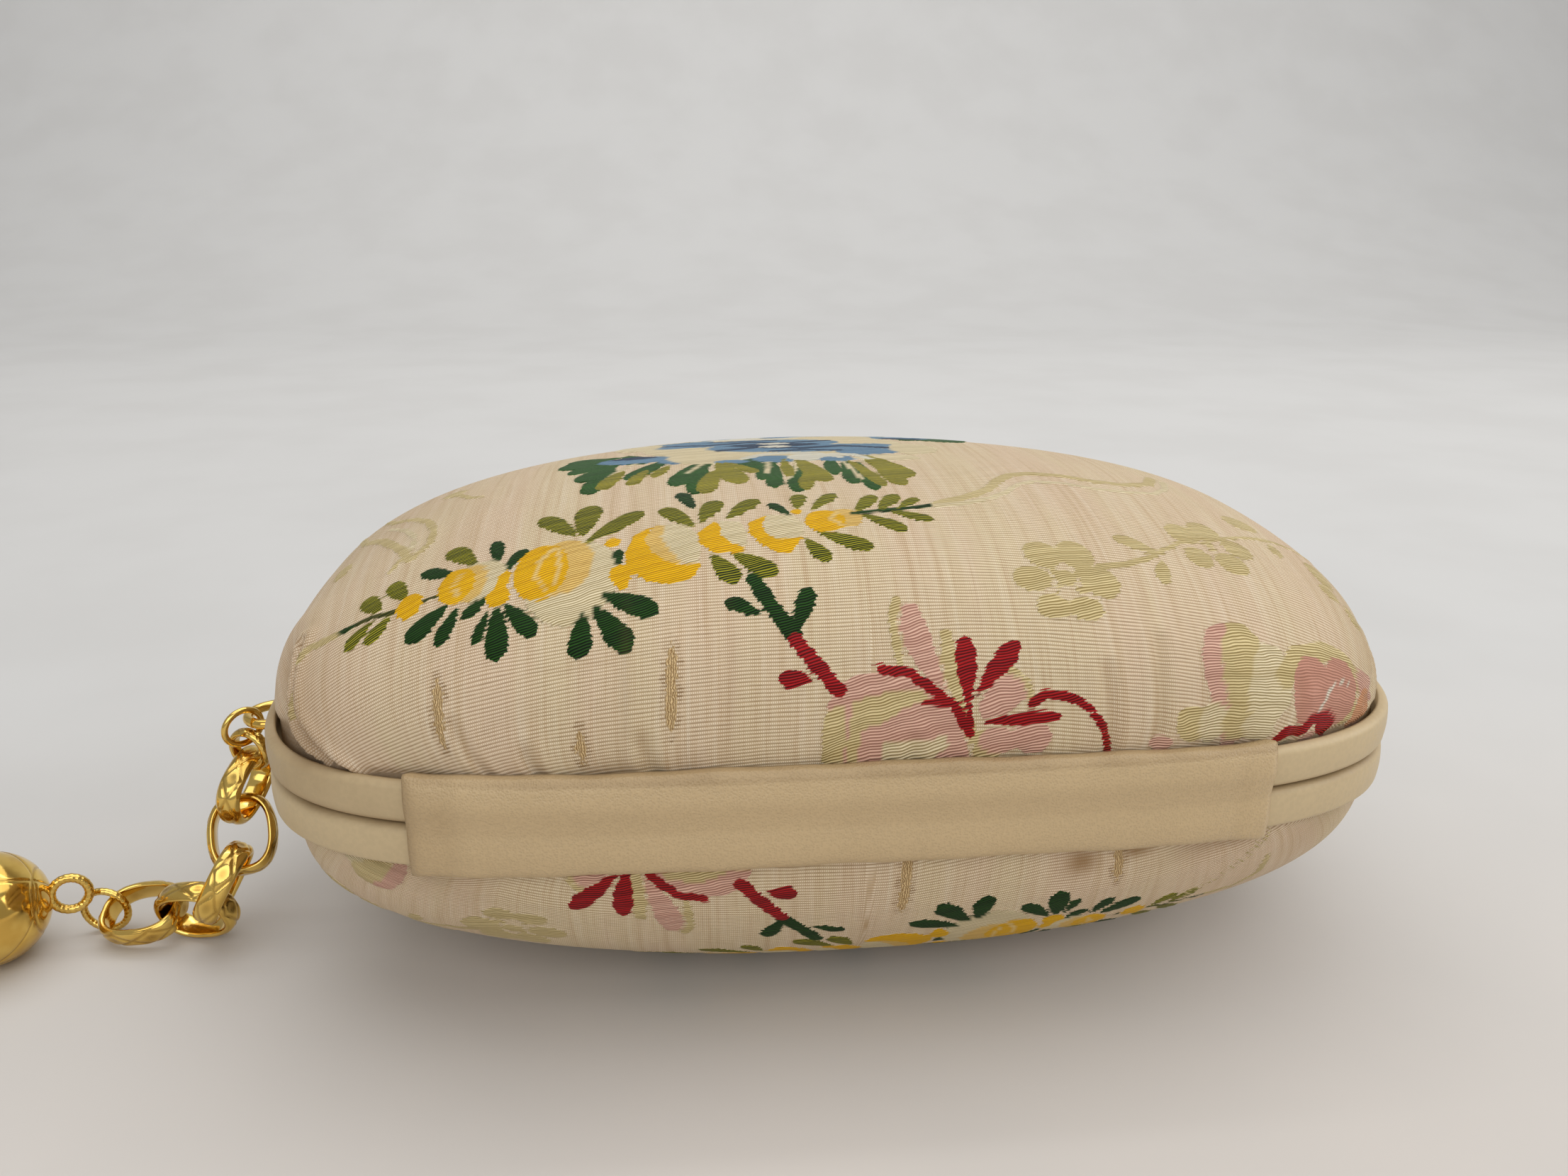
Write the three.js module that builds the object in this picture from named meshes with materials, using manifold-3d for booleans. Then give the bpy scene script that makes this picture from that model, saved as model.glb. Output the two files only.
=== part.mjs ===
// An evening clutch: two padded silk brocade domes on leather-covered frame rims, joined along one
// long side by a leather hinge cover, with a gold wrist chain and ball at the left end.
// Millimetres, +Z up. X runs along the hinge, +Y points away from it, and the origin is the middle
// of the small flat that the lower dome rests on.
import * as THREE from 'three';
import { mergeVertices } from 'three/addons/utils/BufferGeometryUtils.js';
import Module from 'manifold-3d';

const wasm = await Module();
wasm.setup();

// Overall size of the closed clutch
const bodyLength = 190;
const bodyDepth = 120;
const domeHeight = 33.2;
const rimHeight = 6.6;
const seamGap = 0.4;

// Plan outline: a superellipse, squarer on the hinge side than on the opening side
const hingeSideSquareness = 4.0;
const openingSideSquareness = 2.3;
const crownSquareness = 2.0;
const squarenessFade = 6;

// Dome profile: height = domeHeight * (1 - r^domeFullness)^(1 / domeCrown)
const domeFullness = 3.2;
const domeCrown = 2.22;
const restFlat = 0.4;

// Walls and clearances
const paddedWall = 3.0;
const rimLip = 1.5;
const rimWidth = 6.5;
const rimEdgeRadius = 1.1;
const shellSeatDepth = 2.4;
const fitClearance = 0.3;

// Hinge cover, one leather flap on each rim, along the hinge side
const coverLeather = 1.2;
const coverFromX = -67.5;
const coverToX = 62.5;

// Clasp on the opening side
const claspWidth = 18;
const claspThickness = 1.4;
const claspHeight = 9.0;

// Wrist chain
const linkLength = 14.6;
const linkWidth = 11.6;
const linkBand = 4.2;
const linkThickness = 1.5;
const linkSquareness = 2.5;
const eyeWire = 1.8;
const eyeReach = 10.6;
const eyeWidth = 10.6;
const eyeY = -6.5;
const upperRingOuter = 7.8;
const upperRingWire = 1.15;
const bandRingOuter = 8.4;
const bandRingBand = 2.2;
const bandRingThickness = 1.2;
const endRingOuter = 9.0;
const endRingWire = 1.3;
const ballDiameter = 19.4;
const ballRingOuter = 7.4;
const ballRingWire = 1.6;

// Fineness of the facets
const spokes = 64;
const outerRows = 9;
const innerRows = 6;
const edgeSteps = 3;
const coverSteps = 22;
const claspSteps = 4;
const linkSteps = 26;

// Colours taken from the photograph by eye
const brocadeMaterial = { color: 0xdcc9ae, roughness: 0.62, metalness: 0.0 };
const rimMaterial = { color: 0xcdbf9f, roughness: 0.5, metalness: 0.0 };
const coverMaterial = { color: 0xbfa77f, roughness: 0.58, metalness: 0.0 };
const goldMaterial = { color: 0xd9a73a, roughness: 0.18, metalness: 1.0 };

// Section of a link's band. radial: share of its thickness, outwards; axial: share of its width
const bandSection = [
  { radial: -0.5, axial: -0.32 },
  { radial: -0.5, axial: 0.32 },
  { radial: -0.2, axial: 0.5 },
  { radial: 0.1, axial: 0.48 },
  { radial: 0.38, axial: 0.3 },
  { radial: 0.5, axial: 0 },
  { radial: 0.38, axial: -0.3 },
  { radial: 0.1, axial: -0.48 },
  { radial: -0.2, axial: -0.5 },
];

// Puckers where the brocade is gathered over the rim. at: place round the outline in degrees;
// depth: share of the padded wall; spread: half width in degrees; reach: share of the dome height
const puckers = [
  { at: 213, depth: 0.32, spread: 4.0, reach: 0.55 },
  { at: 232, depth: 0.20, spread: 2.6, reach: 0.20 },
  { at: 248, depth: 0.14, spread: 3.0, reach: 0.30 },
  { at: 300, depth: 0.20, spread: 2.6, reach: 0.35 },
  { at: 329, depth: 0.24, spread: 4.0, reach: 0.45 },
  { at: 30, depth: 0.20, spread: 5.0, reach: 0.40 },
  { at: 75, depth: 0.12, spread: 5.0, reach: 0.25 },
  { at: 118, depth: 0.14, spread: 5.0, reach: 0.25 },
  { at: 152, depth: 0.20, spread: 5.0, reach: 0.40 },
];

// Heights that follow from the sizes above
const halfGap = seamGap / 2;
const seamHeight = halfGap + rimHeight + domeHeight - restFlat;
const shellInset = rimLip + fitClearance;
const shellBase = halfGap + rimHeight - shellSeatDepth + fitClearance;

// A point of the outline, inset from the rim's outer face. squareShare is 1 at the rim, 0 at the crown
function outlinePoint(angle, inset, squareShare = 1) {
  const side = Math.sin(angle) < 0 ? hingeSideSquareness : openingSideSquareness;
  const power = crownSquareness + (side - crownSquareness) * squareShare;
  const c = Math.cos(angle);
  const s = Math.sin(angle);
  const reach = (Math.abs(c) ** power + Math.abs(s) ** power) ** (-1 / power);
  return new THREE.Vector2((bodyLength / 2 - inset) * c * reach, (bodyDepth / 2 - inset) * s * reach);
}

function puckerDepth(angle, heightShare) {
  const degrees = THREE.MathUtils.radToDeg(angle);
  let depth = 0;
  for (const fold of puckers) {
    const apart = ((degrees - fold.at + 540) % 360) - 180;
    const round = Math.exp(-((apart / fold.spread) ** 2));
    const up = Math.exp(-((heightShare / fold.reach) ** 2));
    depth += fold.depth * paddedWall * round * up;
  }
  return depth;
}

// One closed mesh from rows of points. Rows join in order; each row closes on itself if wrapRow,
// the last row joins the first if wrapRows, and otherwise both end rows are filled
function closedMesh(rows, wrapRow, wrapRows) {
  const width = rows[0].length;
  const points = rows.flat();
  const faces = [];
  const lastRow = wrapRows ? rows.length : rows.length - 1;
  const lastColumn = wrapRow ? width : width - 1;
  for (let i = 0; i < lastRow; i += 1) {
    for (let j = 0; j < lastColumn; j += 1) {
      const a = i * width + j;
      const b = i * width + ((j + 1) % width);
      const c = ((i + 1) % rows.length) * width + j;
      const d = ((i + 1) % rows.length) * width + ((j + 1) % width);
      faces.push(a, b, d, a, d, c);
    }
  }
  if (!wrapRows) {
    fillRow(rows[0], 0, points, faces, true);
    fillRow(rows.at(-1), (rows.length - 1) * width, points, faces, false);
  }
  return indexedGeometry(points, faces);
}

function fillRow(row, start, points, faces, flip) {
  const middle = new THREE.Vector3();
  row.forEach((point) => middle.add(point));
  points.push(middle.divideScalar(row.length));
  const centre = points.length - 1;
  for (let j = 0; j < row.length; j += 1) {
    const next = (j + 1) % row.length;
    if (flip) {
      faces.push(centre, start + next, start + j);
    } else {
      faces.push(centre, start + j, start + next);
    }
  }
}

// Turns the faces outwards if the enclosed volume comes out negative
function indexedGeometry(points, faces) {
  const cross = new THREE.Vector3();
  let volume = 0;
  for (let i = 0; i < faces.length; i += 3) {
    cross.crossVectors(points[faces[i + 1]], points[faces[i + 2]]);
    volume += points[faces[i]].dot(cross);
  }
  const outward = volume > 0 ? faces : faces.toReversed();
  const geometry = new THREE.BufferGeometry();
  geometry.setAttribute('position', new THREE.Float32BufferAttribute(points.flatMap((p) => [p.x, p.y, p.z]), 3));
  geometry.setIndex(outward);
  geometry.computeVertexNormals();
  return geometry;
}

// One ring of points at a height above the seam; side is 1 for the upper half and -1 for the lower
function outlineRow(inset, height, side, shrink = 1, squareShare = 1, heightShare = null) {
  const row = [];
  for (let j = 0; j < spokes; j += 1) {
    const angle = (j / spokes) * Math.PI * 2;
    const fold = heightShare === null ? 0 : puckerDepth(angle, heightShare);
    const point = outlinePoint(angle, inset + fold, squareShare);
    row.push(new THREE.Vector3(point.x * shrink, point.y * shrink, seamHeight + side * height));
  }
  return row;
}

// The rows of one dome surface, from the rim up to its last ring
function domeRows(inset, height, rows, lastShare, side, folded) {
  const out = [];
  for (let i = 0; i < rows; i += 1) {
    const heightShare = lastShare * Math.sin((i / (rows - 1)) * Math.PI / 2);
    const shrink = (1 - heightShare ** domeCrown) ** (1 / domeFullness);
    const z = halfGap + rimHeight + height * heightShare;
    out.push(outlineRow(inset, z, side, shrink, shrink ** squarenessFade, folded ? heightShare : null));
  }
  return out;
}

// A padded shell: outer dome, inner dome and the edge that sits in the rim
function shellGeometry(side) {
  const lastShare = 1 - restFlat / domeHeight;
  const outer = domeRows(shellInset, domeHeight, outerRows, lastShare, side, true);
  const inner = domeRows(shellInset + paddedWall, domeHeight - paddedWall, innerRows, lastShare, side, false);
  const edge = [
    outlineRow(shellInset + paddedWall, shellBase, side),
    outlineRow(shellInset, shellBase, side),
  ];
  return closedMesh([...inner.reverse(), ...edge, ...outer], true, false);
}

// The rim's section, as inset from the outer face and height above the seam
function rimSection() {
  const section = [new THREE.Vector2(rimWidth, halfGap)];
  const top = halfGap + rimHeight;
  const topRadius = Math.min(rimEdgeRadius, rimLip * 0.8);
  for (let i = 0; i <= edgeSteps; i += 1) {
    const turn = (i / edgeSteps) * Math.PI / 2;
    const drop = rimEdgeRadius * (1 - Math.sin(turn));
    section.push(new THREE.Vector2(drop, halfGap + rimEdgeRadius * (1 - Math.cos(turn))));
  }
  for (let i = 0; i <= edgeSteps; i += 1) {
    const turn = (i / edgeSteps) * Math.PI / 2;
    section.push(new THREE.Vector2(topRadius * (1 - Math.cos(turn)), top - topRadius * (1 - Math.sin(turn))));
  }
  section.push(new THREE.Vector2(rimLip, top));
  section.push(new THREE.Vector2(rimLip, top - shellSeatDepth));
  section.push(new THREE.Vector2(rimWidth, top - shellSeatDepth));
  return section;
}

function rimGeometry(side) {
  return closedMesh(rimSection().map((p) => outlineRow(p.x, p.y, side)), true, true);
}

// The angle where the outline, outset from the rim, reaches a given x on one side
function angleAtX(x, outset, hingeSide) {
  let low = hingeSide ? -Math.PI : 0;
  let high = hingeSide ? 0 : Math.PI;
  for (let i = 0; i < 40; i += 1) {
    const middle = (low + high) / 2;
    const tooFar = outlinePoint(middle, -outset).x > x;
    if (tooFar === hingeSide) {
      high = middle;
    } else {
      low = middle;
    }
  }
  return (low + high) / 2;
}

// A strip lying along the outline between two x places, clear of the rim by the fit clearance
function stripGeometry(fromX, toX, lowZ, highZ, thickness, steps, hingeSide) {
  const rows = [];
  for (let i = 0; i <= steps; i += 1) {
    const x = fromX + (toX - fromX) * (i / steps);
    const near = outlinePoint(angleAtX(x, fitClearance, hingeSide), -fitClearance);
    const far = outlinePoint(angleAtX(x, fitClearance + thickness, hingeSide), -fitClearance - thickness);
    rows.push([
      new THREE.Vector3(near.x, near.y, lowZ),
      new THREE.Vector3(far.x, far.y, lowZ),
      new THREE.Vector3(far.x, far.y, highZ),
      new THREE.Vector3(near.x, near.y, highZ),
    ]);
  }
  return closedMesh(rows, true, false);
}

function coverGeometry(side) {
  const inner = seamHeight + side * halfGap;
  const outer = seamHeight + side * (halfGap + rimHeight);
  return stripGeometry(coverFromX, coverToX, Math.min(inner, outer), Math.max(inner, outer),
    coverLeather, coverSteps, true);
}

function claspGeometry() {
  const low = seamHeight - claspHeight / 2;
  return stripGeometry(-claspWidth / 2, claspWidth / 2, low, low + claspHeight, claspThickness, claspSteps, false);
}

// An oval band: flat inside, rounded outside, lying in its own XY plane
function bandGeometry(length, width, band, thickness, squareness) {
  const halfX = (length - thickness) / 2;
  const halfY = (width - thickness) / 2;
  const rows = [];
  for (let i = 0; i < linkSteps; i += 1) {
    const angle = (i / linkSteps) * Math.PI * 2;
    const c = Math.cos(angle);
    const s = Math.sin(angle);
    const reach = (Math.abs(c) ** squareness + Math.abs(s) ** squareness) ** (-1 / squareness);
    const centre = new THREE.Vector3(halfX * c * reach, halfY * s * reach, 0);
    const out = new THREE.Vector3(
      Math.sign(c) * Math.abs(c) ** (squareness - 1) / halfX,
      Math.sign(s) * Math.abs(s) ** (squareness - 1) / halfY,
      0,
    ).normalize();
    rows.push(bandSection.map((spot) => {
      const point = centre.clone().addScaledVector(out, thickness * spot.radial);
      return point.setZ(band * spot.axial);
    }));
  }
  return closedMesh(rows, true, true);
}

function ringGeometry(outer, wire) {
  return mergedShape(new THREE.TorusGeometry((outer - wire) / 2, wire / 2, 8, 22));
}

function mergedShape(geometry) {
  geometry.deleteAttribute('normal');
  geometry.deleteAttribute('uv');
  return mergeVertices(geometry, 1e-4);
}

function toSolid(geometry) {
  const vertProperties = new Float32Array(geometry.attributes.position.array);
  const triVerts = new Uint32Array(geometry.index.array);
  return new wasm.Manifold(new wasm.Mesh({ numProp: 3, vertProperties, triVerts }));
}

function fromSolid(solid) {
  const mesh = solid.getMesh();
  const geometry = new THREE.BufferGeometry();
  geometry.setAttribute('position', new THREE.BufferAttribute(mesh.vertProperties, 3));
  geometry.setIndex(new THREE.BufferAttribute(mesh.triVerts, 1));
  geometry.computeVertexNormals();
  return geometry;
}

// The staple eye: a bent bar whose two legs stand on the lower rim's left end
function eyeGeometry() {
  const height = seamHeight - halfGap - rimHeight / 2;
  const footX = (y) => -Math.abs(xOnOutline(y)) - fitClearance;
  const tip = -bodyLength / 2 - eyeReach;
  const legA = eyeY + eyeWidth / 2 - eyeWire / 2;
  const legB = eyeY - eyeWidth / 2 + eyeWire / 2;
  const bend = (legA - legB) / 2;
  const route = [new THREE.Vector3(footX(legA), legA, height)];
  const turns = 8;
  for (let i = 0; i <= turns; i += 1) {
    const turn = (i / turns) * Math.PI;
    route.push(new THREE.Vector3(tip + eyeWire / 2 + bend * (1 - Math.sin(turn)), eyeY + bend * Math.cos(turn), height));
  }
  route.push(new THREE.Vector3(footX(legB), legB, height));
  return tubeGeometry(route, eyeWire / 2);
}

// The outline's left x at a given y
function xOnOutline(y) {
  const power = y < 0 ? hingeSideSquareness : openingSideSquareness;
  return -(bodyLength / 2) * (1 - Math.abs(y / (bodyDepth / 2)) ** power) ** (1 / power);
}

// A round bar along a flat route, its ends cut square
function tubeGeometry(route, radius) {
  const sides = 10;
  const up = new THREE.Vector3(0, 0, 1);
  const rows = route.map((point, i) => {
    const ahead = route[Math.min(i + 1, route.length - 1)];
    const behind = route[Math.max(i - 1, 0)];
    const across = new THREE.Vector3().subVectors(ahead, behind).normalize().cross(up);
    const row = [];
    for (let j = 0; j < sides; j += 1) {
      const turn = (j / sides) * Math.PI * 2;
      const spot = point.clone().addScaledVector(across, radius * Math.cos(turn));
      row.push(spot.addScaledVector(up, radius * Math.sin(turn)));
    }
    return row;
  });
  return closedMesh(rows, true, false);
}

// The ball with the ring soldered to it, its centre at the origin and the ring towards +X
function ballGeometry() {
  const ball = mergedShape(new THREE.SphereGeometry(ballDiameter / 2, 24, 16));
  const ring = ringGeometry(ballRingOuter, ballRingWire);
  ring.translate(ballDiameter / 2 + ballRingOuter / 2 - ballRingWire * 0.6, 0, 0);
  return fromSolid(toSolid(ball).add(toSolid(ring)));
}

// The places of the chain's pieces, chosen so that each hangs or lies in the next one.
// at: centre, from below the rim's left end; along: way of the long axis; facing: way of the hole
const chainPlaces = {
  upper_ring: { at: [-9.8, -9.9, 35.3], along: [0.35, 0.15, 0.95], facing: [0.7, -0.7, -0.1] },
  band_ring: { at: [-9.4, -9.2, 30.6], along: [0.25, -0.2, 0.95], facing: [0.4, 0.9, 0.1] },
  link_1: { at: [-10.4, -11.1, 24.6], along: [0.2, 0.9, 0.35], facing: [1, -0.15, -0.15] },
  link_2: { at: [-10.3, -16.1, 17.4], along: [-0.15, 0.6, 0.8], facing: [0.15, -0.75, 0.6] },
  link_3: { at: [-12.3, -22.3, 11.6], along: [0.45, 0.25, 0.85], facing: [0.9, -0.05, -0.45] },
  link_4: { at: [-17.6, -22.0, 6.2], along: [0.95, -0.3, 0.2], facing: [-0.25, -0.9, -0.3] },
  link_5: { at: [-27.7, -19.7, 4.7], along: [1, -0.1, 0.1], facing: [-0.15, -0.4, 0.9] },
  end_ring: { at: [-34.9, -17.8, 4.5], along: [0.85, -0.1, 0.55], facing: [-0.1, -1, -0.05] },
  ball: { at: [-50.7, -24.1, ballDiameter / 2], along: [0.95, 0.3, 0], facing: [0.3, -0.95, 0.1] },
};

function placed(name, geometry, material) {
  const place = chainPlaces[name];
  const along = new THREE.Vector3(...place.along).normalize();
  const facing = new THREE.Vector3(...place.facing);
  facing.addScaledVector(along, -facing.dot(along)).normalize();
  const across = new THREE.Vector3().crossVectors(facing, along);
  const mesh = named(name, geometry, material);
  mesh.setRotationFromMatrix(new THREE.Matrix4().makeBasis(along, across, facing));
  mesh.position.set(...place.at);
  mesh.position.x -= bodyLength / 2;
  return mesh;
}

function named(name, geometry, material) {
  const mesh = new THREE.Mesh(geometry, new THREE.MeshStandardMaterial(material));
  mesh.name = name;
  return mesh;
}

// The lower half, which lies on the surface, with the chain
const lowerHalf = new THREE.Group();
lowerHalf.add(named('lower_shell', shellGeometry(-1), brocadeMaterial));
lowerHalf.add(named('lower_rim', rimGeometry(-1), rimMaterial));
lowerHalf.add(named('hinge_cover_lower', coverGeometry(-1), coverMaterial));
lowerHalf.add(named('clasp', claspGeometry(), goldMaterial));

// The upper half, which opens
const upperHalf = new THREE.Group();
upperHalf.add(named('upper_shell', shellGeometry(1), brocadeMaterial));
upperHalf.add(named('upper_rim', rimGeometry(1), rimMaterial));
upperHalf.add(named('hinge_cover_upper', coverGeometry(1), coverMaterial));

// The wrist chain, from its eye on the rim to the ball
const chain = new THREE.Group();
chain.add(named('chain_eye', eyeGeometry(), goldMaterial));
chain.add(placed('upper_ring', ringGeometry(upperRingOuter, upperRingWire), goldMaterial));
const bandRing = bandGeometry(bandRingOuter, bandRingOuter, bandRingBand, bandRingThickness, 2);
chain.add(placed('band_ring', bandRing, goldMaterial));
for (const name of ['link_1', 'link_2', 'link_3', 'link_4', 'link_5']) {
  const link = bandGeometry(linkLength, linkWidth, linkBand, linkThickness, linkSquareness);
  chain.add(placed(name, link, goldMaterial));
}
chain.add(placed('end_ring', ringGeometry(endRingOuter, endRingWire), goldMaterial));
chain.add(placed('ball', ballGeometry(), goldMaterial));

const clutch = new THREE.Group();
clutch.add(lowerHalf, upperHalf, chain);
export default clutch;
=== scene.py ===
# Evening clutch: two padded silk brocade domes on leather-covered rims, with a gold wrist chain.
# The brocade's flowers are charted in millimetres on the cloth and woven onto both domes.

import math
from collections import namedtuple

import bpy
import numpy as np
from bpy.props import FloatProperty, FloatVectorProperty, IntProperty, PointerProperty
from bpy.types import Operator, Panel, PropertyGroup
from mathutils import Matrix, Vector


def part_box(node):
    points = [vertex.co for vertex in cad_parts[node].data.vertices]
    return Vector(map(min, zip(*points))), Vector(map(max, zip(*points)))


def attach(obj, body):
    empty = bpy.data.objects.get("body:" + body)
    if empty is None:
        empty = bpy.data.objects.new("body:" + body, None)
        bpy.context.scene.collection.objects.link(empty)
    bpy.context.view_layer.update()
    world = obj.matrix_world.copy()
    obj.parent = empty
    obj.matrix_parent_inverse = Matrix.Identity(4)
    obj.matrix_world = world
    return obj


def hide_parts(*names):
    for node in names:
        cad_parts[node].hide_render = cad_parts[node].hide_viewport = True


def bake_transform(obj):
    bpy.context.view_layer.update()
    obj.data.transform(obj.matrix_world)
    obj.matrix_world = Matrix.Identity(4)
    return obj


bl_info = {
    "name": "Evening clutch",
    "version": (1, 0, 0),
    "blender": (4, 5, 0),
    "location": "3D View > Sidebar > Clutch",
    "description": "Builds a padded brocade evening clutch with a wrist chain and ball",
    "category": "Add Mesh",
}

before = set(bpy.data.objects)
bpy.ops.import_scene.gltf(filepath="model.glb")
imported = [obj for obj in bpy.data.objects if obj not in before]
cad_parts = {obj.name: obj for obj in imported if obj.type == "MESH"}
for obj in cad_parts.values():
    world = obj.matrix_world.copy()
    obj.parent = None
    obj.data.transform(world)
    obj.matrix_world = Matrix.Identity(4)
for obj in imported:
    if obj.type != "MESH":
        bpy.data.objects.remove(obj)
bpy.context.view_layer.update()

MM = 0.001

# Shape of the frame, in millimetres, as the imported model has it, and of what is made round it
HALF_LENGTH = 95.0
HALF_DEPTH = 60.0
SEAM_Z = 39.6
HALF_GAP = 0.2
RIM_HEIGHT = 6.6
RIM_LIP = 1.5
RIM_WIDTH = 6.5
SEAT_DEPTH = 2.4
FIT = 0.3
DOME_HEIGHT = 33.2
WALL = 3.0
SHELL_INSET = RIM_LIP + FIT
HINGE_SQUARENESS = 4.0
OPENING_SQUARENESS = 2.3
CROWN_SQUARENESS = 2.0
SQUARENESS_FADE = 6
DOME_FULLNESS = 3.2
DOME_CROWN = 2.22
FLOOR_CLEARANCE = 0.02
LINING_ROWS = 14
RIM_SEAM_ROUND = 1.4
RIM_TOP_ROUND = 1.2
RIM_STEPS = 420
STRIP_FROM_X = -66.8
STRIP_TO_X = 61.0
STRIP_STEPS = 260
CLASP_HALF = 9.0
CLASP_THICKNESS = 1.4

# Steps of the sums that measure the dome, and the half width that its rows are spaced for
PROFILE_STEPS = 4001
PROFILE_WIDTH = 75.0
RUN_STEPS = 32

# The weave, in millimetres: dashes on a rib, loose floss, slanting yarns and lining threads
DASH_LENGTH = 0.3
FLOSS_WIDTH = 0.34
YARN_PITCH = 0.43
LINING_PITCH = 0.5
# How far outside a figure the cloth still knows its colours, and depth where there is no slub
EDGE_ROOM = 2.0
NO_SLUB = -3.0
# Points of the cloth's edge for each point of the lining's edge
LINING_SHARE = 4


def srgb(code):
    """A colour written as six hex digits, as linear red, green and blue."""
    out = []
    for start in (0, 2, 4):
        value = int(code[start:start + 2], 16) / 255
        out.append(value / 12.92 if value <= 0.04045 else ((value + 0.055) / 1.055) ** 2.4)
    return tuple(out)


def colour_property(name, description, code):
    """A colour that the user can change, from its six hex digits."""
    return FloatVectorProperty(
        name=name, description=description, default=srgb(code),
        subtype="COLOR", size=3, min=0.0, max=1.0,
    )


def size_property(name, description, millimetres):
    """A length that the user can change."""
    return FloatProperty(
        name=name, description=description, default=millimetres * MM, unit="LENGTH", min=0.0,
    )


class ClutchSizes(PropertyGroup):
    """Sizes of the cloth, leather and chain."""

    rib_pitch: size_property("Rib pitch", "Distance from one woven rib to the next", 0.55)
    rib_height: size_property("Rib height", "How far a rib stands up", 0.05)
    float_height: size_property("Flower relief", "How far the flowers stand out of the cloth", 0.16)
    tuck: size_property("Tuck at the rim", "How far the cloth turns in where it meets the rim", 0.5)
    strip_leather: size_property("Hinge leather", "Thickness of the hinge strip", 1.2)
    strip_overlap: size_property("Hinge overlap", "How far the hinge strip passes the rims' edges", 1.0)
    engraving: size_property("Engraving depth", "Depth of the cuts in the gold links", 0.2)
    cloth_rows: IntProperty(
        name="Cloth fineness", description="Points along one side of each dome's mesh",
        default=296, min=60, max=310,
    )


class ClutchColours(PropertyGroup):
    """Colours of the finishes."""

    cloth: colour_property("Cloth", "Ground of the brocade", "DCC79F")
    cloth_blush: colour_property("Cloth, blush", "Pinker stretches of the ground", "DDC1A1")
    cloth_tan: colour_property("Cloth, tan", "Darker slubs and streaks of the ground", "C2A175")
    lining: colour_property("Lining", "Cloth inside the clutch", "CDBD9F")
    rim: colour_property("Rim leather", "Leather on the frame rims", "C3AE88")
    strip: colour_property("Hinge leather", "Leather of the hinge strip", "C2A981")
    # This colour also paints shade on the rims' lip and seat and in the hinge strip's folds
    leather_worn_and_shade: colour_property("Worn leather", "Edges and ends that hands have darkened", "8F744F")
    gold: colour_property("Gold", "Polished gold plate", "ECC86E")
    gold_deep: colour_property("Gold, in the cuts", "Tone at the bottom of the engraving", "8F6A2A")
    floor: colour_property("Floor", "The pale surface that the clutch lies on", "D0C9C2")


# Yarn colours of the brocade: the lit top of the thread and the painted shade between threads, and how
# strongly that shade is painted. Yarns of the upper layer lie over those of the lower one.
Yarn = namedtuple("Yarn", "top shade stripes upper")
YARNS = {
    "forest": Yarn(srgb("1F4C0A"), srgb("061802"), 0.9, False),
    "moss": Yarn(srgb("286608"), srgb("0C2A02"), 1.0, False),
    "olive": Yarn(srgb("A09A1C"), srgb("142208"), 1.0, False),
    "lime": Yarn(srgb("AEA226"), srgb("4E4C0C"), 1.0, True),
    "yellow": Yarn(srgb("F4BE00"), srgb("B88000"), 0.6, True),
    "apricot": Yarn(srgb("EFCB78"), srgb("B78C42"), 0.7, False),
    "straw": Yarn(srgb("F0D28A"), srgb("C49A4C"), 0.6, True),
    "ivory": Yarn(srgb("EEDFBA"), srgb("AE9A6E"), 0.75, False),
    "khaki": Yarn(srgb("E2CF9C"), srgb("A08A56"), 0.75, False),
    "pink": Yarn(srgb("E6BCA6"), srgb("AC7C6A"), 0.8, False),
    "salmon": Yarn(srgb("CC9580"), srgb("A87662"), 0.5, True),
    "crimson": Yarn(srgb("B0161A"), srgb("520408"), 0.7, True),
    "blue": Yarn(srgb("7A9CB4"), srgb("3E607A"), 0.8, False),
    "navy": Yarn(srgb("2A4460"), srgb("101E30"), 0.7, True),
    "white": Yarn(srgb("EEE9D8"), srgb("A8A28C"), 0.7, True),
    "tan": Yarn(srgb("D2B88C"), srgb("6E5030"), 0.9, True),
    "twig": Yarn(srgb("5A5A24"), srgb("22280C"), 0.8, False),
    "orange": Yarn(srgb("D8A07A"), srgb("B07850"), 0.6, True),
}

# The brocade's flowers, charted one by one. Millimetres on the cloth: the first number runs along the
# hinge, the second across it, from 0 on the ridge down to about -76 at the rim by the hinge.
# Leaf: from its foot to its tip. Oval: middle and half sizes. Stem: its route. Patch: its outline.
Leaf = namedtuple("Leaf", "yarn foot tip width")
Oval = namedtuple("Oval", "yarn middle half")
Stem = namedtuple("Stem", "yarn width route")
Patch = namedtuple("Patch", "yarn outline")

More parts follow.
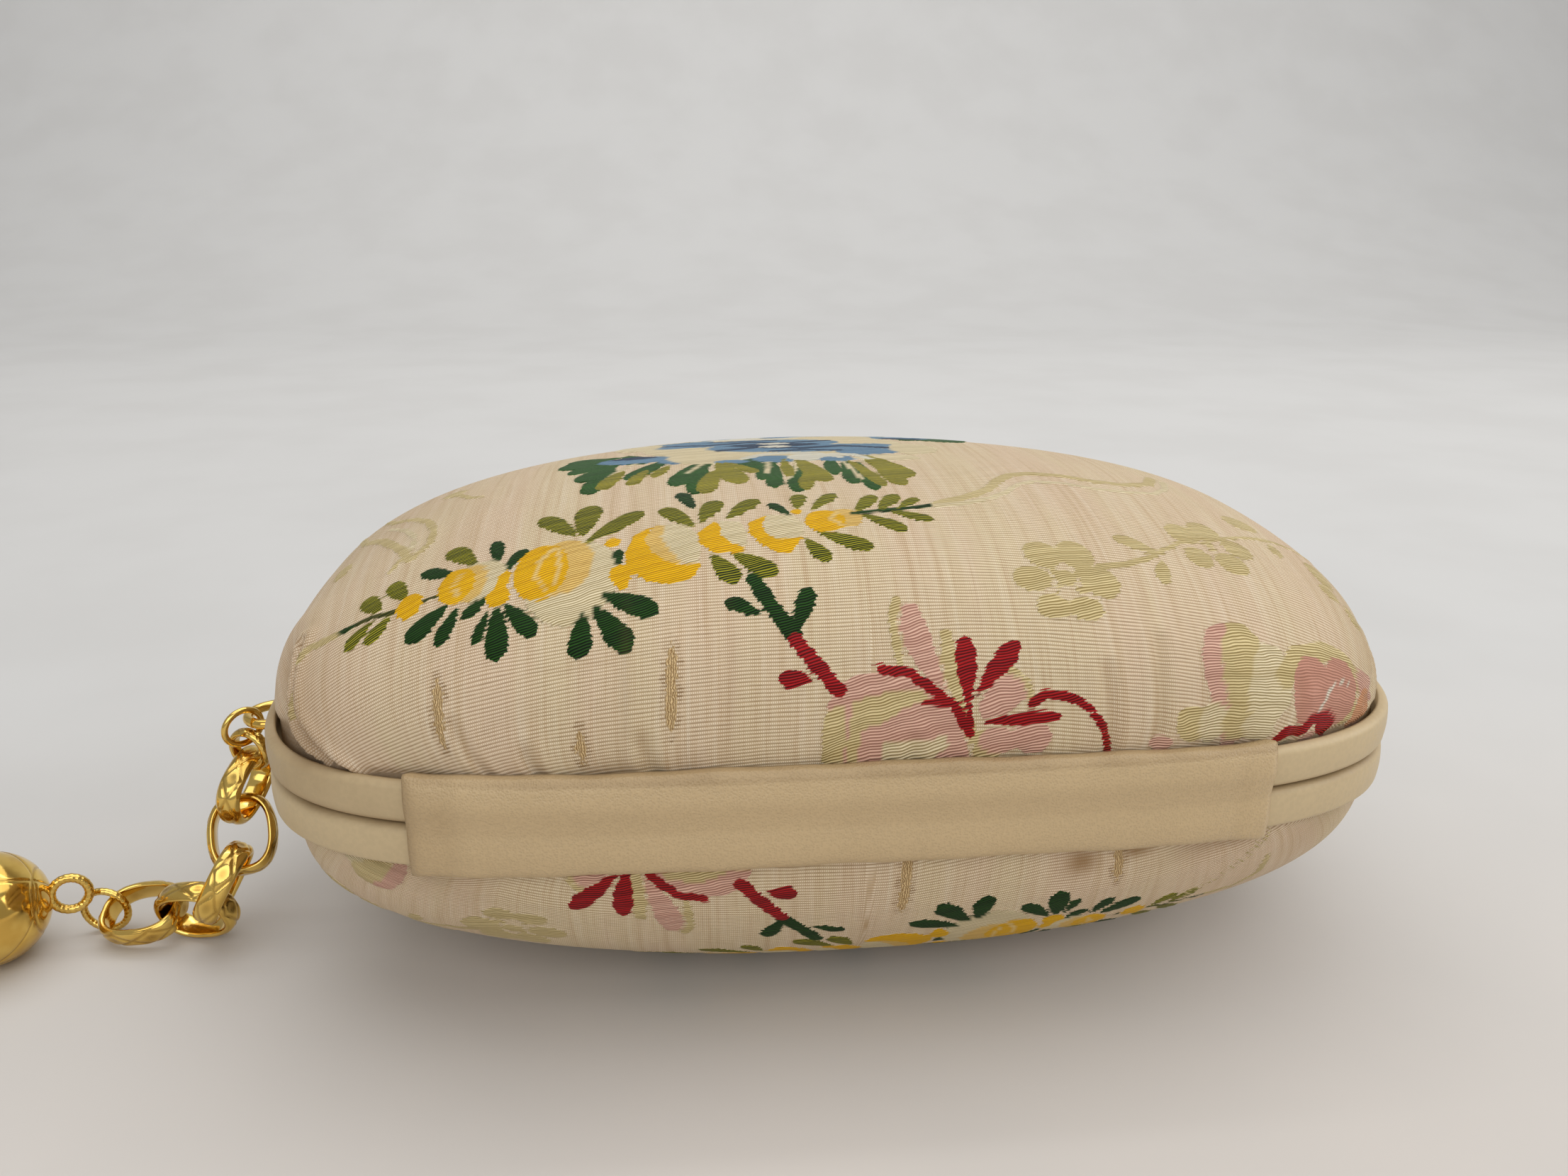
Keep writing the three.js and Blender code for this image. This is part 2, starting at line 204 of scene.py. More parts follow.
BOUQUET = [
    Leaf("moss", (-37, 9), (-48, 3), 7),
    Leaf("moss", (-38, 8), (-47, 8), 6),
    Leaf("moss", (-38, 4), (-46, -2), 5),
    Leaf("moss", (-36, 10), (-33, 1), 7),
    Leaf("moss", (-37, 3), (-44, -8), 5),
    Leaf("moss", (-38, 1), (-42, -15.5), 5),
    Leaf("lime", (-36, -3), (-40, -14), 3.6),
    Leaf("moss", (-28, 4), (-35.5, -10), 4.4),
    Leaf("lime", (-32, -4), (-35, -13), 3),
    Leaf("lime", (-28, -1), (-31, -9.5), 2.6),
    Leaf("moss", (-20, 4), (-27.6, -15.5), 5.4),
    Leaf("moss", (-22, -2), (-24, -20), 4.8),
    Leaf("lime", (-20, -6), (-22.6, -20), 4.2),
    Leaf("lime", (-19.5, -1), (-16.2, -16), 5.4),
    Leaf("lime", (-18, -1), (-13, -9.5), 3),
    Leaf("moss", (-16, 8), (-18, -6), 5),
    Leaf("moss", (-15, 6), (-12.4, -9.5), 5),
    Leaf("moss", (-9, 4), (-12.6, -14.5), 3.6),
    Leaf("moss", (-9.5, 0), (-10.8, -19), 3.6),
    Leaf("lime", (-7.5, 1), (-7.6, -13), 2.6),
    Leaf("moss", (-5, -2), (-7.2, -21.5), 4),
    Leaf("lime", (-5, 2), (-1.8, -16.5), 5),
    Leaf("lime", (-3.5, -6), (-5.8, -20.5), 3),
    Leaf("moss", (1, 2), (0.2, -12), 3.4),
    Leaf("moss", (3.6, 0), (2.8, -18), 3.6),
    Leaf("moss", (5.6, -2), (5.8, -21.5), 3.4),
    Leaf("lime", (4, 0), (7.6, -19.5), 3),
    Leaf("lime", (7.5, 3), (12.8, -14.5), 6.4),
    Leaf("lime", (8.5, -2), (10.8, -19), 4.2),
    Stem("ivory", 0.9, [(-34, 2), (-37, -3), (-39, -9)]),
    Stem("ivory", 0.9, [(-19, 6), (-21.5, 0), (-25, -8)]),
    Stem("ivory", 0.9, [(-17, 4), (-19.5, -3), (-20.8, -12)]),
    Stem("ivory", 0.9, [(-10, 6), (-10.5, -2), (-11.2, -10)]),
    Stem("ivory", 0.9, [(-5, 4), (-5.8, -6), (-8, -14)]),
    Stem("ivory", 0.9, [(2.5, 4), (3.5, -6), (4.4, -15)]),
    Stem("ivory", 0.9, [(6, 4), (8, -6), (9.5, -13)]),
    Oval("ivory", (-8, 13), (25, 12)),
    Oval("blue", (-34, 4.5), (7, 3)),
    Oval("navy", (-34.5, 6.4), (4.4, 1.4)),
    Oval("blue", (-27, 1.2), (3.2, 1.6)),
    Oval("ivory", (-21, 4), (7.6, 6)),
    Oval("blue", (-17, -0.8), (3.2, 1.5)),
    Oval("blue", (-9, 1), (4.4, 2.7)),
    Stem("white", 1.7, [(-14.4, 1.6), (-11, 4.8), (-6, 6), (-1, 5), (3, 1.6)]),
    Oval("white", (-3.4, 1.8), (3.2, 2.6)),
    Oval("blue", (2.6, 0.4), (4.2, 2.3)),
    Stem("white", 1.5, [(-1, 1.5), (2, 4.2), (6, 3.4), (8.2, -0.4)]),
    Oval("ivory", (11.4, 0.6), (6.2, 2.8)),
    Oval("blue", (-3, 11.6), (18, 5)),
    Oval("blue", (9, 6.4), (6, 3)),
    Oval("ivory", (18, 8.6), (4.6, 5.4)),
    Stem("navy", 1.5, [(-19, 9.4), (-11, 11.6), (-3, 10.2), (5, 12), (13, 9.6)]),
    Stem("navy", 1.2, [(-9, 7.8), (-2, 8.4), (4, 7.6)]),
    Oval("navy", (-8, 14), (9, 2)),
    Oval("white", (-8, 12.4), (3, 1.1)),
]

GARLAND = [
    Stem("twig", 0.9, [(-80.5, -38.4), (-75, -38.4), (-70, -39.2), (-63.5, -39)]),
    Leaf("forest", (-77, -38.6), (-80.5, -38.2), 1.2),
    Leaf("olive", (-73, -38), (-76.8, -33), 3.4),
    Leaf("olive", (-69, -37.4), (-72.4, -31.6), 3.4),
    Leaf("olive", (-74.2, -39.4), (-78.4, -43), 3.2),
    Leaf("olive", (-71, -39.6), (-74.6, -44), 3.2),
    Oval("yellow", (-68.2, -39.2), (2.1, 2.7)),
    Leaf("forest", (-61.5, -34.8), (-67.4, -31.6), 3),
    Leaf("olive", (-58.4, -33.4), (-63.4, -27), 4),
    Leaf("forest", (-54.8, -34.4), (-55.8, -27.8), 2.6),
    Leaf("forest", (-53.8, -37), (-50.6, -32), 2.8),
    Oval("ivory", (-57.6, -37.8), (4.6, 4.6)),
    Oval("apricot", (-58.8, -37.8), (2.6, 4.2)),
    Oval("yellow", (-61, -37.8), (2.9, 4.1)),
    Stem("straw", 0.7, [(-60.4, -35), (-61.4, -37.6), (-60.6, -40.4)]),
    Leaf("yellow", (-54.6, -43.4), (-53.2, -37), 2.2),
    Oval("yellow", (-54.2, -42.6), (1.9, 1.9)),
    Leaf("forest", (-61.8, -41.4), (-67.8, -46.6), 4.2),
    Leaf("forest", (-60.2, -42.6), (-62.8, -49), 2.8),
    Leaf("forest", (-55.6, -42), (-59.4, -45.2), 2.6),
    Leaf("forest", (-55.4, -44.8), (-57.2, -50.6), 2),
    Leaf("forest", (-54.2, -44.4), (-53.6, -54), 3.8),
    Leaf("forest", (-53.2, -44.2), (-48.2, -51.2), 3.2),
    Oval("ivory", (-43.2, -41.6), (7.2, 8.9)),
    Oval("apricot", (-44.6, -38.2), (4.6, 6.4)),
    Oval("yellow", (-48, -38.6), (4.2, 6.4)),
    Stem("straw", 0.7, [(-46.4, -33.6), (-48.4, -36.6), (-48.6, -40), (-47, -43.4)]),
    Stem("straw", 0.7, [(-45.6, -34), (-45.2, -38), (-46, -42.4)]),
    Leaf("olive", (-43, -30.8), (-49, -22.8), 4),
    Leaf("olive", (-42, -31.2), (-41, -20.8), 4.8),
    Leaf("olive", (-41.6, -33.6), (-32.6, -25.4), 4),
    Oval("yellow", (-37.2, -34.4), (1.3, 1.4)),
    Leaf("forest", (-36.2, -40.6), (-36.4, -36.4), 2),
    Leaf("yellow", (-35.4, -46), (-36.2, -40.4), 3.6),
    Leaf("forest", (-41.2, -48.8), (-41.8, -56), 3.8),
    Leaf("forest", (-39.8, -48), (-34.4, -56), 4),
    Leaf("forest", (-38.8, -45.8), (-30.4, -50.6), 4),
    Patch("ivory", [
        (-29.5, -30.8), (-26.5, -31.4), (-24.4, -34), (-23.8, -38), (-24.2, -41.6), (-28, -41.8),
        (-29.4, -38), (-30.4, -34),
    ]),
    Patch("apricot", [
        (-30.6, -30.6), (-29.2, -31), (-29.8, -34.6), (-28.6, -38), (-26.6, -41.8), (-29, -41.6),
        (-31.4, -38.4), (-32.6, -34.6),
    ]),
    Patch("yellow", [
        (-30.8, -30.8), (-34, -33), (-35.4, -38), (-34.8, -41.6), (-32, -44.6), (-28.4, -45.7),
        (-25.2, -44.8), (-23.6, -41.8), (-26, -42), (-28.6, -41.2), (-31, -38.6), (-32.3, -35),
    ]),
    Leaf("olive", (-24.4, -32.8), (-29.6, -25), 3.6),
    Leaf("olive", (-23.6, -31.4), (-20.6, -23.6), 3.8),
    Leaf("olive", (-19.6, -31), (-14.2, -24), 3.6),
    Leaf("forest", (-24.4, -26.4), (-26.6, -19), 2.8),
    Patch("ivory", [
        (-20.8, -31), (-17.4, -32), (-16.6, -35), (-16.8, -38.8), (-19, -38.6), (-20.8, -35.6),
    ]),
    Patch("yellow", [
        (-21.2, -30.8), (-24.2, -34.4), (-24, -37.2), (-22, -39.8), (-18.4, -40.4), (-16.8, -39.4),
        (-18.8, -38.2), (-20.6, -35.8), (-20.6, -33),
    ]),
    Patch("ivory", [
        (-13.6, -30.2), (-9, -30.8), (-7.6, -34), (-8.2, -37.4), (-10.2, -38), (-12.4, -38),
        (-14.2, -35.6),
    ]),
    Patch("yellow", [
        (-13, -30.2), (-16.2, -32.4), (-16.4, -35.2), (-14.8, -38.6), (-12.4, -40.9),
        (-10.2, -40.9), (-8, -37.2), (-10.4, -37.6), (-12.4, -37.6), (-14, -35.4), (-14, -32.8),
    ]),
    Leaf("olive", (-22.4, -40), (-18.8, -46.6), 3.6),
    Leaf("olive", (-19.4, -40), (-12.8, -45.6), 3.8),
    Leaf("forest", (-9.4, -31), (-12.4, -26), 2.4),
    Leaf("olive", (-8.2, -29), (-7.2, -22.6), 3),
    Leaf("olive", (-6, -29.4), (-1.4, -22.8), 3),
    Oval("yellow", (-8.4, -29.6), (1, 0.9)),
    Oval("apricot", (-1, -32.2), (2.8, 3)),
    Oval("yellow", (-4.2, -33), (3.2, 3.5)),
    Stem("straw", 0.7, [(-1.8, -30.4), (-3.4, -32.4), (-1.6, -34.6)]),
    Leaf("olive", (-6, -36), (2.2, -40.8), 3.6),
    Leaf("olive", (-8, -37.6), (-4.8, -43.4), 3),
    Stem("forest", 1.1, [(0.6, -30.8), (5, -30), (11, -28.8), (15, -27.4)]),
    Leaf("olive", (1, -30.6), (5, -23.8), 3.2),
    Leaf("olive", (4.8, -30), (8.8, -23.4), 3.2),
    Leaf("olive", (8, -29.4), (12, -25), 2.4),
    Leaf("olive", (1.8, -31.2), (8.2, -36.2), 3.2),
    Leaf("olive", (6.4, -30.2), (13, -33.2), 2.8),
]

RIBBONS = [
    Stem("khaki", 2.0, [
        (15, -27.2), (20, -24.6), (25, -20.6), (28, -15.6), (31, -12), (35, -10.4), (41, -10.6),
        (46, -12.4), (52, -12.4), (58, -9), (61, -3),
    ]),
    Stem("ivory", 1.3, [
        (14.5, -28.2), (20, -26.8), (25, -24.2), (28, -21.4), (31, -17.4), (34.5, -15.2),
        (40, -15.3), (45, -16.8), (51, -16.4), (57, -14.6), (61, -10), (63, -4),
    ]),
    Oval("khaki", (28.4, -41.4), (3, 2.9)),
    Oval("khaki", (33.8, -40.9), (3, 3.2)),
    Oval("khaki", (25.6, -46.8), (2.9, 2.5)),
    Oval("khaki", (36.3, -46.6), (3.2, 3)),
    Oval("khaki", (27.9, -51.8), (2.7, 2.1)),
    Oval("khaki", (32.9, -51.9), (2.7, 2.1)),
    Oval("khaki", (30.9, -46.4), (1.6, 1.6)),
    Stem("khaki", 0.8, [(29, -44.6), (33, -49), (34, -44.4), (29, -48.6)]),
    Stem("khaki", 1.0, [
        (37, -43.2), (42, -42), (46, -40), (50, -37), (53, -34.6), (57, -31.6), (62, -30),
        (66, -28), (72, -25), (78, -22.8), (86, -21),
    ]),
    Leaf("khaki", (49, -38.4), (42, -35), 3.4),
    Leaf("khaki", (48.6, -40), (47, -45.4), 2.8),
    Oval("khaki", (55.4, -30.6), (2.9, 2.9)),
    Oval("khaki", (60.4, -28.2), (2.8, 3)),
    Oval("khaki", (64.9, -32.2), (2.7, 2.7)),
    Oval("khaki", (55.9, -37.2), (2.3, 2.7)),
    Oval("khaki", (61.9, -37.2), (2.7, 2.9)),
    Oval("khaki", (59.5, -33), (0.9, 1.7)),
    Oval("khaki", (71, -20), (3.4, 2.6)),
    Oval("khaki", (74.5, -27.6), (1.2, 2.6)),
    Oval("khaki", (83.5, -28.6), (2.6, 3.6)),
    Oval("khaki", (82.4, -34.4), (2, 2)),
    Oval("khaki", (86.6, -37.2), (1.8, 2.6)),
    Stem("khaki", 1.5, [(-81, -38.2), (-86, -37.2), (-90, -40), (-91, -46)]),
    Stem("khaki", 1.7, [(-70.5, -25.8), (-72.5, -21), (-75, -17), (-78, -12), (-83, -6), (-86, 2)]),
    Stem("khaki", 1.2, [(-73.5, -28), (-72, -24.6)]),
    Stem("khaki", 1.4, [
        (-70, -26), (-67.4, -22), (-67.6, -17), (-69.4, -12), (-73, -7), (-78, -2), (-81, 4),
    ]),
    Stem("ivory", 1.0, [(-70.4, -22), (-71, -17), (-73.6, -12), (-78, -6)]),
    Oval("khaki", (-84.5, -17), (1.8, 2.6)),
    Oval("khaki", (-67, 2), (2.4, 2)),
    Stem("khaki", 1.3, [(-66, 0), (-63, -5), (-61, -6)]),
]

FLOWERS = [
    Stem("forest", 2.3, [(-16.4, -46), (-14.4, -50.4), (-11, -55.8)]),
    Leaf("forest", (-15.4, -52.4), (-20.6, -49.6), 2.6),
    Leaf("forest", (-10.6, -55), (-8.2, -48.2), 3.2),
    Stem("crimson", 2.1, [(-10.8, -56.6), (-7.6, -60.6), (-4.6, -64.2)]),
    Leaf("crimson", (-8.5, -62.4), (-13.2, -62), 2.8),
    Patch("pink", [
        (-5.6, -64), (-2.4, -61.9), (3.4, -61.4), (7.4, -63.6), (10, -66.4), (12.2, -69),
        (13.2, -75), (-6.4, -75), (-6.8, -69),
    ]),
    Patch("khaki", [(-6.8, -75), (-7, -69), (-6.2, -66.6), (-3.6, -66.4), (-3.4, -69), (-4, -75)]),
    Patch("khaki", [
        (-2.6, -65.8), (2, -64.2), (6.6, -64.6), (8, -66.4), (3, -67.4), (-1.2, -70), (-2, -75),
        (-3.6, -75), (-3, -69),
    ]),
    Oval("pink", (6.6, -69), (4.6, 2.6)),
    Patch("ivory", [
        (0.6, -72), (3.6, -71.6), (7.4, -72), (9.2, -70.8), (10.2, -72.4), (7.6, -75), (0.2, -75),
    ]),
    Patch("pink", [
        (5.2, -51.6), (7, -51.6), (8.2, -55), (9.2, -60), (10.2, -65), (7, -62.4), (4.9, -59),
        (4.1, -55),
    ]),
    Stem("khaki", 1.2, [(4.2, -50.8), (3.2, -54), (3.6, -60.4)]),
    Patch("khaki", [
        (10.2, -55.6), (11.6, -56), (12.2, -60), (12.6, -66), (14.8, -72), (13, -72.4), (10.8, -66),
        (9.6, -60),
    ]),
    Leaf("crimson", (13, -67), (13.5, -56.6), 3.4),
    Leaf("crimson", (14.2, -65.4), (21.4, -57.4), 3.2),
    Stem("crimson", 1.5, [(0.8, -61.2), (5, -62), (8, -64.4), (11, -66.6), (13.2, -70.8)]),
    Stem("crimson", 1.2, [(6.8, -66.2), (10.6, -66.2)]),
    Patch("pink", [
        (14.4, -67.2), (16.8, -63.2), (19.6, -62), (21.8, -63.6), (21.6, -65.8), (18.4, -68),
        (15.2, -68.6),
    ]),
    Stem("khaki", 1.1, [(19.6, -61.4), (22, -63), (22.6, -66.4)]),
    Stem("crimson", 0.9, [(13.2, -66), (13.2, -69.4)]),
    Leaf("crimson", (15.4, -69.4), (27, -68.2), 2.2),
    Stem("crimson", 1.3, [
        (22.6, -66.3), (24.6, -65), (28, -65.2), (31, -66.7), (33.2, -69.2), (35, -74),
    ]),
    Patch("khaki", [(14, -70.6), (16, -70.2), (18, -75), (13.6, -75)]),
    Oval("pink", (17.6, -72), (3.2, 2)),
    Oval("pink", (22.4, -71.4), (3, 2.6)),
    Patch("khaki", [
        (55.4, -51.2), (58.4, -50.8), (61, -53), (61.6, -58), (60.8, -63), (57.4, -67.6),
        (54.6, -64), (53.4, -60), (53.6, -55),
    ]),
    Patch("ivory", [
        (61, -53), (64.4, -53.4), (66, -57), (66, -62), (63.6, -66), (58.6, -67.4), (57.6, -62),
        (58.6, -57),
    ]),
    Stem("khaki", 3.4, [(64.6, -58), (67.6, -53.8), (73.6, -51), (79, -50.4), (83, -52.6)]),
    Patch("pink", [
        (54.4, -51.4), (55.8, -51.2), (53.6, -55), (53.2, -60), (54.2, -63.6), (57.6, -68),
        (59.6, -71.6), (56.6, -71.4), (54, -68.2), (51.6, -64.6), (50.4, -61), (50.1, -57),
        (51.4, -53.4),
    ]),
    Oval("khaki", (48.4, -68), (3.2, 2.8)),
    Oval("ivory", (52.4, -67.4), (2.8, 3.2)),
    Oval("khaki", (57, -66.8), (3, 2.8)),
    Oval("ivory", (61.2, -66.6), (3.4, 2.4)),
    Oval("salmon", (71.2, -58.6), (4.7, 5.8)),
    Oval("salmon", (78, -56.4), (4.8, 5.9)),
    Oval("khaki", (81.4, -57.8), (2.7, 3.8)),
    Oval("orange", (87, -57), (3.2, 5.4)),
    Oval("pink", (86, -51.6), (4, 2.6)),
    Stem("white", 0.45, [(73.6, -60.6), (74.4, -57.6), (76.4, -54.8), (79.6, -54)]),
    Stem("crimson", 2.2, [
        (66.4, -68.6), (67.6, -66), (70, -65.8), (71.4, -65), (72.4, -62.8), (75, -61.4),
    ]),
    Oval("crimson", (76.4, -62.4), (2.9, 2.3)),
    Stem("crimson", 1.9, [(77.4, -62.4), (79, -65), (79.6, -67)]),
    Oval("ivory", (70.2, -68.4), (2, 1.4)),
    Oval("pink", (74.6, -66.4), (2.2, 2)),
    Oval("pink", (43.4, -71.4), (2.2, 1.2)),
]

# Ribbon that only the lower dome's piece of cloth shows
LOWER_RIBBONS = [
    Stem("khaki", 0.7, [
        (-76, -40), (-81, -44.4), (-87, -49.6), (-93, -54.6), (-99, -59.4), (-103, -62),
    ]),
    Stem("khaki", 0.5, [
        (-75.4, -41.8), (-80.4, -46.2), (-86.4, -51.4), (-92.4, -56.4), (-98.4, -61.2), (-102, -64),
    ]),
]

# Slubs: darker knots of thread that run down the cloth
Slub = namedtuple("Slub", "middle top bottom")
SLUBS = [
    Slub(-62.5, -53.5, -65), Slub(-28.5, -55, -69), Slub(-41.6, -65.5, -72),
]

# Creases of the cloth: half width, depth and route on the chart, in millimetres
Crease = namedtuple("Crease", "width depth route")
CREASES = [
    Crease(0.9, 1.5, [(-89, -34), (-90, -40), (-90, -48), (-87, -56), (-83.5, -62), (-80, -71)]),
    Crease(3.6, 1.0, [(-95.5, -32), (-96.5, -41), (-96, -50), (-92, -60)]),
    Crease(0.8, 0.25, [(-60.5, -61), (-59, -65.5), (-56.5, -72)]),
    Crease(1.0, 0.35, [(34.4, -61), (34.6, -67), (34.8, -74)]),
    Crease(1.1, 0.30, [(43.6, -56), (43, -63), (42.4, -71)]),
    Crease(1.1, 0.35, [(-33, -69), (-31, -75)]),
    Crease(1.0, 0.30, [(-50, -68), (-49, -75)]),
    Crease(1.0, 0.30, [(5, -72), (5, -77)]),
    Crease(1.0, 0.30, [(68, -58), (70, -66), (71, -70)]),
    Crease(1.0, 0.35, [(92, -38), (91, -45), (88, -54)]),
]

# Stains: middle and half sizes on the chart, and strength
Stain = namedtuple("Stain", "middle half strength")
UPPER_STAINS = [
    Stain((-36, -73.4), (9, 1.8), 0.55),
    Stain((-90, -52), (7, 16), 0.55),
    Stain((-80, -5), (16, 14), 0.2),
    Stain((88, -40), (8, 18), 0.3),
    Stain((-20, -62), (0.7, 10), 0.25),
    Stain((-35, -62), (0.9, 12), 0.3),
    Stain((-41, -57), (6, 0.6), 0.2),
]
LOWER_STAINS = [
    Stain((32, -71.8), (2.8, 2.4), 1.2),
    Stain((41.5, -72.2), (3, 1.5), 1.2),
    Stain((60, -69), (14, 2.4), 0.5),
    Stain((80, -60), (12, 5), 0.3),
    Stain((-70, -66), (14, 4), 0.3),
]

# How far the lower dome's cloth is drawn towards the rim by the hinge, at places across it
LOWER_PLACES = [-80, -70, -65.4, -60, -52, -40]
LOWER_DRAWN = [8, 8, 8.4, 11.4, 14.6, 15.6]
# More at the right end and less at the left one: where that starts, over what run, how much
LOWER_ENDS = [(2, 24, 4.2), (-56, -16, -7)]
# The same cloth runs the other way along the hinge, a little stretched and moved along
LOWER_STRETCH = 1.015
LOWER_MOVED = 23.7
# Beyond the bouquet's middle the chart is repeated, half turned about this place
BOUQUET_MIDDLE = (-8, 14)

# Folds where the cloth is gathered over the rim: degrees round the outline, share of the wall,
# half width in degrees and share of the dome's height, as in the frame
Fold = namedtuple("Fold", "at depth spread reach")
FOLDS = [
    Fold(213, 0.32, 4.0, 0.55), Fold(232, 0.20, 2.6, 0.20), Fold(248, 0.14, 3.0, 0.30),
    Fold(300, 0.20, 2.6, 0.35), Fold(329, 0.24, 4.0, 0.45), Fold(30, 0.20, 5.0, 0.40),
    Fold(75, 0.12, 5.0, 0.25), Fold(118, 0.14, 5.0, 0.25), Fold(152, 0.20, 5.0, 0.40),
]

# Where the hinge strip has a fold, in shares of its length from either end, and its two soft
# swells: height over the seam, half width and how far it swells
FOLD_AT = 0.045
SWELLS = [(4.4, 2.3, 0.55), (-3.4, 2.2, 0.28)]

# Small gathers of the cloth all round the rim: how many, phase and depth in millimetres
GATHERS = [(37, 1, 0.05), (61, 2, 0.06), (97, 0, 0.04)]
# How high up the dome the tuck and the gathers reach, in millimetres
TUCK_REACH = 0.7
GATHER_REACH = 4.5

# The chain's pieces, as they lie in the frame. at: centre, from below the rim's left end;
# along: way of the long axis; facing: way of the hole
Place = namedtuple("Place", "at along facing")
CHAIN = {
    "upper_ring": Place((-9.8, -9.9, 35.3), (0.35, 0.15, 0.95), (0.7, -0.7, -0.1)),
    "band_ring": Place((-9.4, -9.2, 30.6), (0.25, -0.2, 0.95), (0.4, 0.9, 0.1)),
    "link_1": Place((-10.4, -11.1, 24.6), (0.2, 0.9, 0.35), (1, -0.15, -0.15)),
    "link_2": Place((-10.3, -16.1, 17.4), (-0.15, 0.6, 0.8), (0.15, -0.75, 0.6)),
    "link_3": Place((-12.3, -22.3, 11.6), (0.45, 0.25, 0.85), (0.9, -0.05, -0.45)),
    "link_4": Place((-17.6, -22.0, 6.2), (0.95, -0.3, 0.2), (-0.25, -0.9, -0.3)),
    "link_5": Place((-27.7, -19.7, 4.7), (1, -0.1, 0.1), (-0.15, -0.4, 0.9)),
    "end_ring": Place((-34.9, -17.8, 4.5), (0.85, -0.1, 0.55), (-0.1, -1, -0.05)),
    "ball": Place((-50.7, -24.1, 9.7), (0.95, 0.3, 0), (0.3, -0.95, 0.1)),
}

# Sizes of the chain's bands in millimetres. length and width: over the oval; band: across the
# metal; steps: points round the oval; repeats: of the engraving; cuts: share of its full depth
Band = namedtuple("Band", "length width band thickness squareness steps repeats cuts")
SMALL_BAND = Band(8.4, 8.4, 2.2, 1.2, 2.0, 120, 6, 0.5)
BELCHER_LINK = Band(14.6, 11.6, 4.2, 1.5, 2.5, 240, 3, 1.0)
LINK_COUNT = 5
# Sizes of its wire rings. outer: over the ring; around: points round it; ridges: of the twist
Hoop = namedtuple("Hoop", "outer wire around ridges ridge_depth")
UPPER_HOOP = Hoop(7.8, 1.15, 96, 0, 0.0)
END_HOOP = Hoop(9.0, 1.3, 240, 30, 0.04)
BALL_HOOP = Hoop(7.4, 1.6, 200, 22, 0.05)
HOOP_SIDES = 16
BALL_RADIUS = 9.7
# The most that a finished gold piece's box may differ from its node's
PLACE_TOLERANCE = 1.2

# The staple eye: wire, middle of its two legs, half their distance, how far it stands out from
# the rim's end, and points round the wire
EYE_WIRE = 1.8
EYE_MIDDLE_Y = -6.5
EYE_HALF = 4.4
EYE_REACH = 10.6
EYE_SIDES = 20

# Rings cut into the ball: half width of the cut, way of each ring's axis, and how far along it
# the ring lies, in radii
BALL_CUT_WIDTH = 0.17
BALL_CUTS = [
    ((1, 0, 0), 0.82), ((0.35, 0.55, 0.76), 0.05), ((-0.45, 0.5, 0.74), 0.05),
    ((0.1, -0.75, 0.66), -0.1),
]

# The studio, in metres and watts
Light = namedtuple("Light", "place target size watts colour")
LIGHTS = {
    "overhead_softbox": Light((0.08, 0.1, 1.15), (0, 0, 0), (1.8, 1.3), 8.1, (1, 0.995, 0.985)),
    "front_softbox": Light((-0.2, -1.2, 0.8), (0, 0, 0.02), (1.6, 0.9), 7.0, (1, 0.99, 0.975)),
    "right_softbox": Light((1.2, -0.1, 0.6), (0, 0.1, 0), (0.9, 0.7), 4.6, (1, 0.995, 0.99)),
    "backdrop_softbox": Light((0.3, 0.5, 1.3), (0.3, 1.6, 0.5), (2.4, 0.5), 10.0, (1, 1, 1)),
}
WORLD_COLOUR = (0.9, 0.9, 0.905, 1.0)
WORLD_STRENGTH = 0.42
# The floor: front edge, where it bends up, radius of the bend, top and half width
SWEEP_FRONT = -1.6
SWEEP_BEND = 0.9
SWEEP_RADIUS = 0.8
SWEEP_TOP = 2.6
SWEEP_HALF_WIDTH = 2.4

# The photograph's view: place in millimetres, angles in degrees, focal length on a 36 mm frame
CAMERA_PLACE = (-28.55, -208.9, 125.7)
CAMERA_PITCH = -18.57
CAMERA_AZIMUTH = 5.81
CAMERA_ROLL = 0.235
CAMERA_LENS = 27.03


class Wire:
    """An output of the node tree. Python's operators on it add Math nodes."""

    def __init__(self, shader, socket):
        self.shader = shader
        self.socket = socket

    def maths(self, operation, first, second=None):
        sockets = {0: first} if second is None else {0: first, 1: second}
        return self.shader.node("ShaderNodeMath", {"operation": operation}, sockets)

    def __add__(self, other):
        return self.maths("ADD", self, other)

    def __radd__(self, other):
        return self.maths("ADD", other, self)

    def __sub__(self, other):
        return self.maths("SUBTRACT", self, other)

    def __rsub__(self, other):
        return self.maths("SUBTRACT", other, self)

    def __mul__(self, other):
        return self.maths("MULTIPLY", self, other)

    def __rmul__(self, other):
        return self.maths("MULTIPLY", other, self)

    def __truediv__(self, other):
        return self.maths("DIVIDE", self, other)

    def __pow__(self, other):
        return self.maths("POWER", self, other)

    def sine(self):
        return self.maths("SINE", self)

    def floor(self):
        return self.maths("FLOOR", self)

    def wave(self):
        """Swings between 0 and 1, once for each whole number."""
        return (self * (2 * math.pi)).sine() * 0.5 + 0.5

    def ramp(self, low, high):
        """0 below low, 1 above high, and smooth between."""
        settings = {"interpolation_type": "SMOOTHSTEP", "clamp": True}
        sockets = {0: self, 1: low, 2: high, 3: 0.0, 4: 1.0}
        return self.shader.node("ShaderNodeMapRange", settings, sockets)


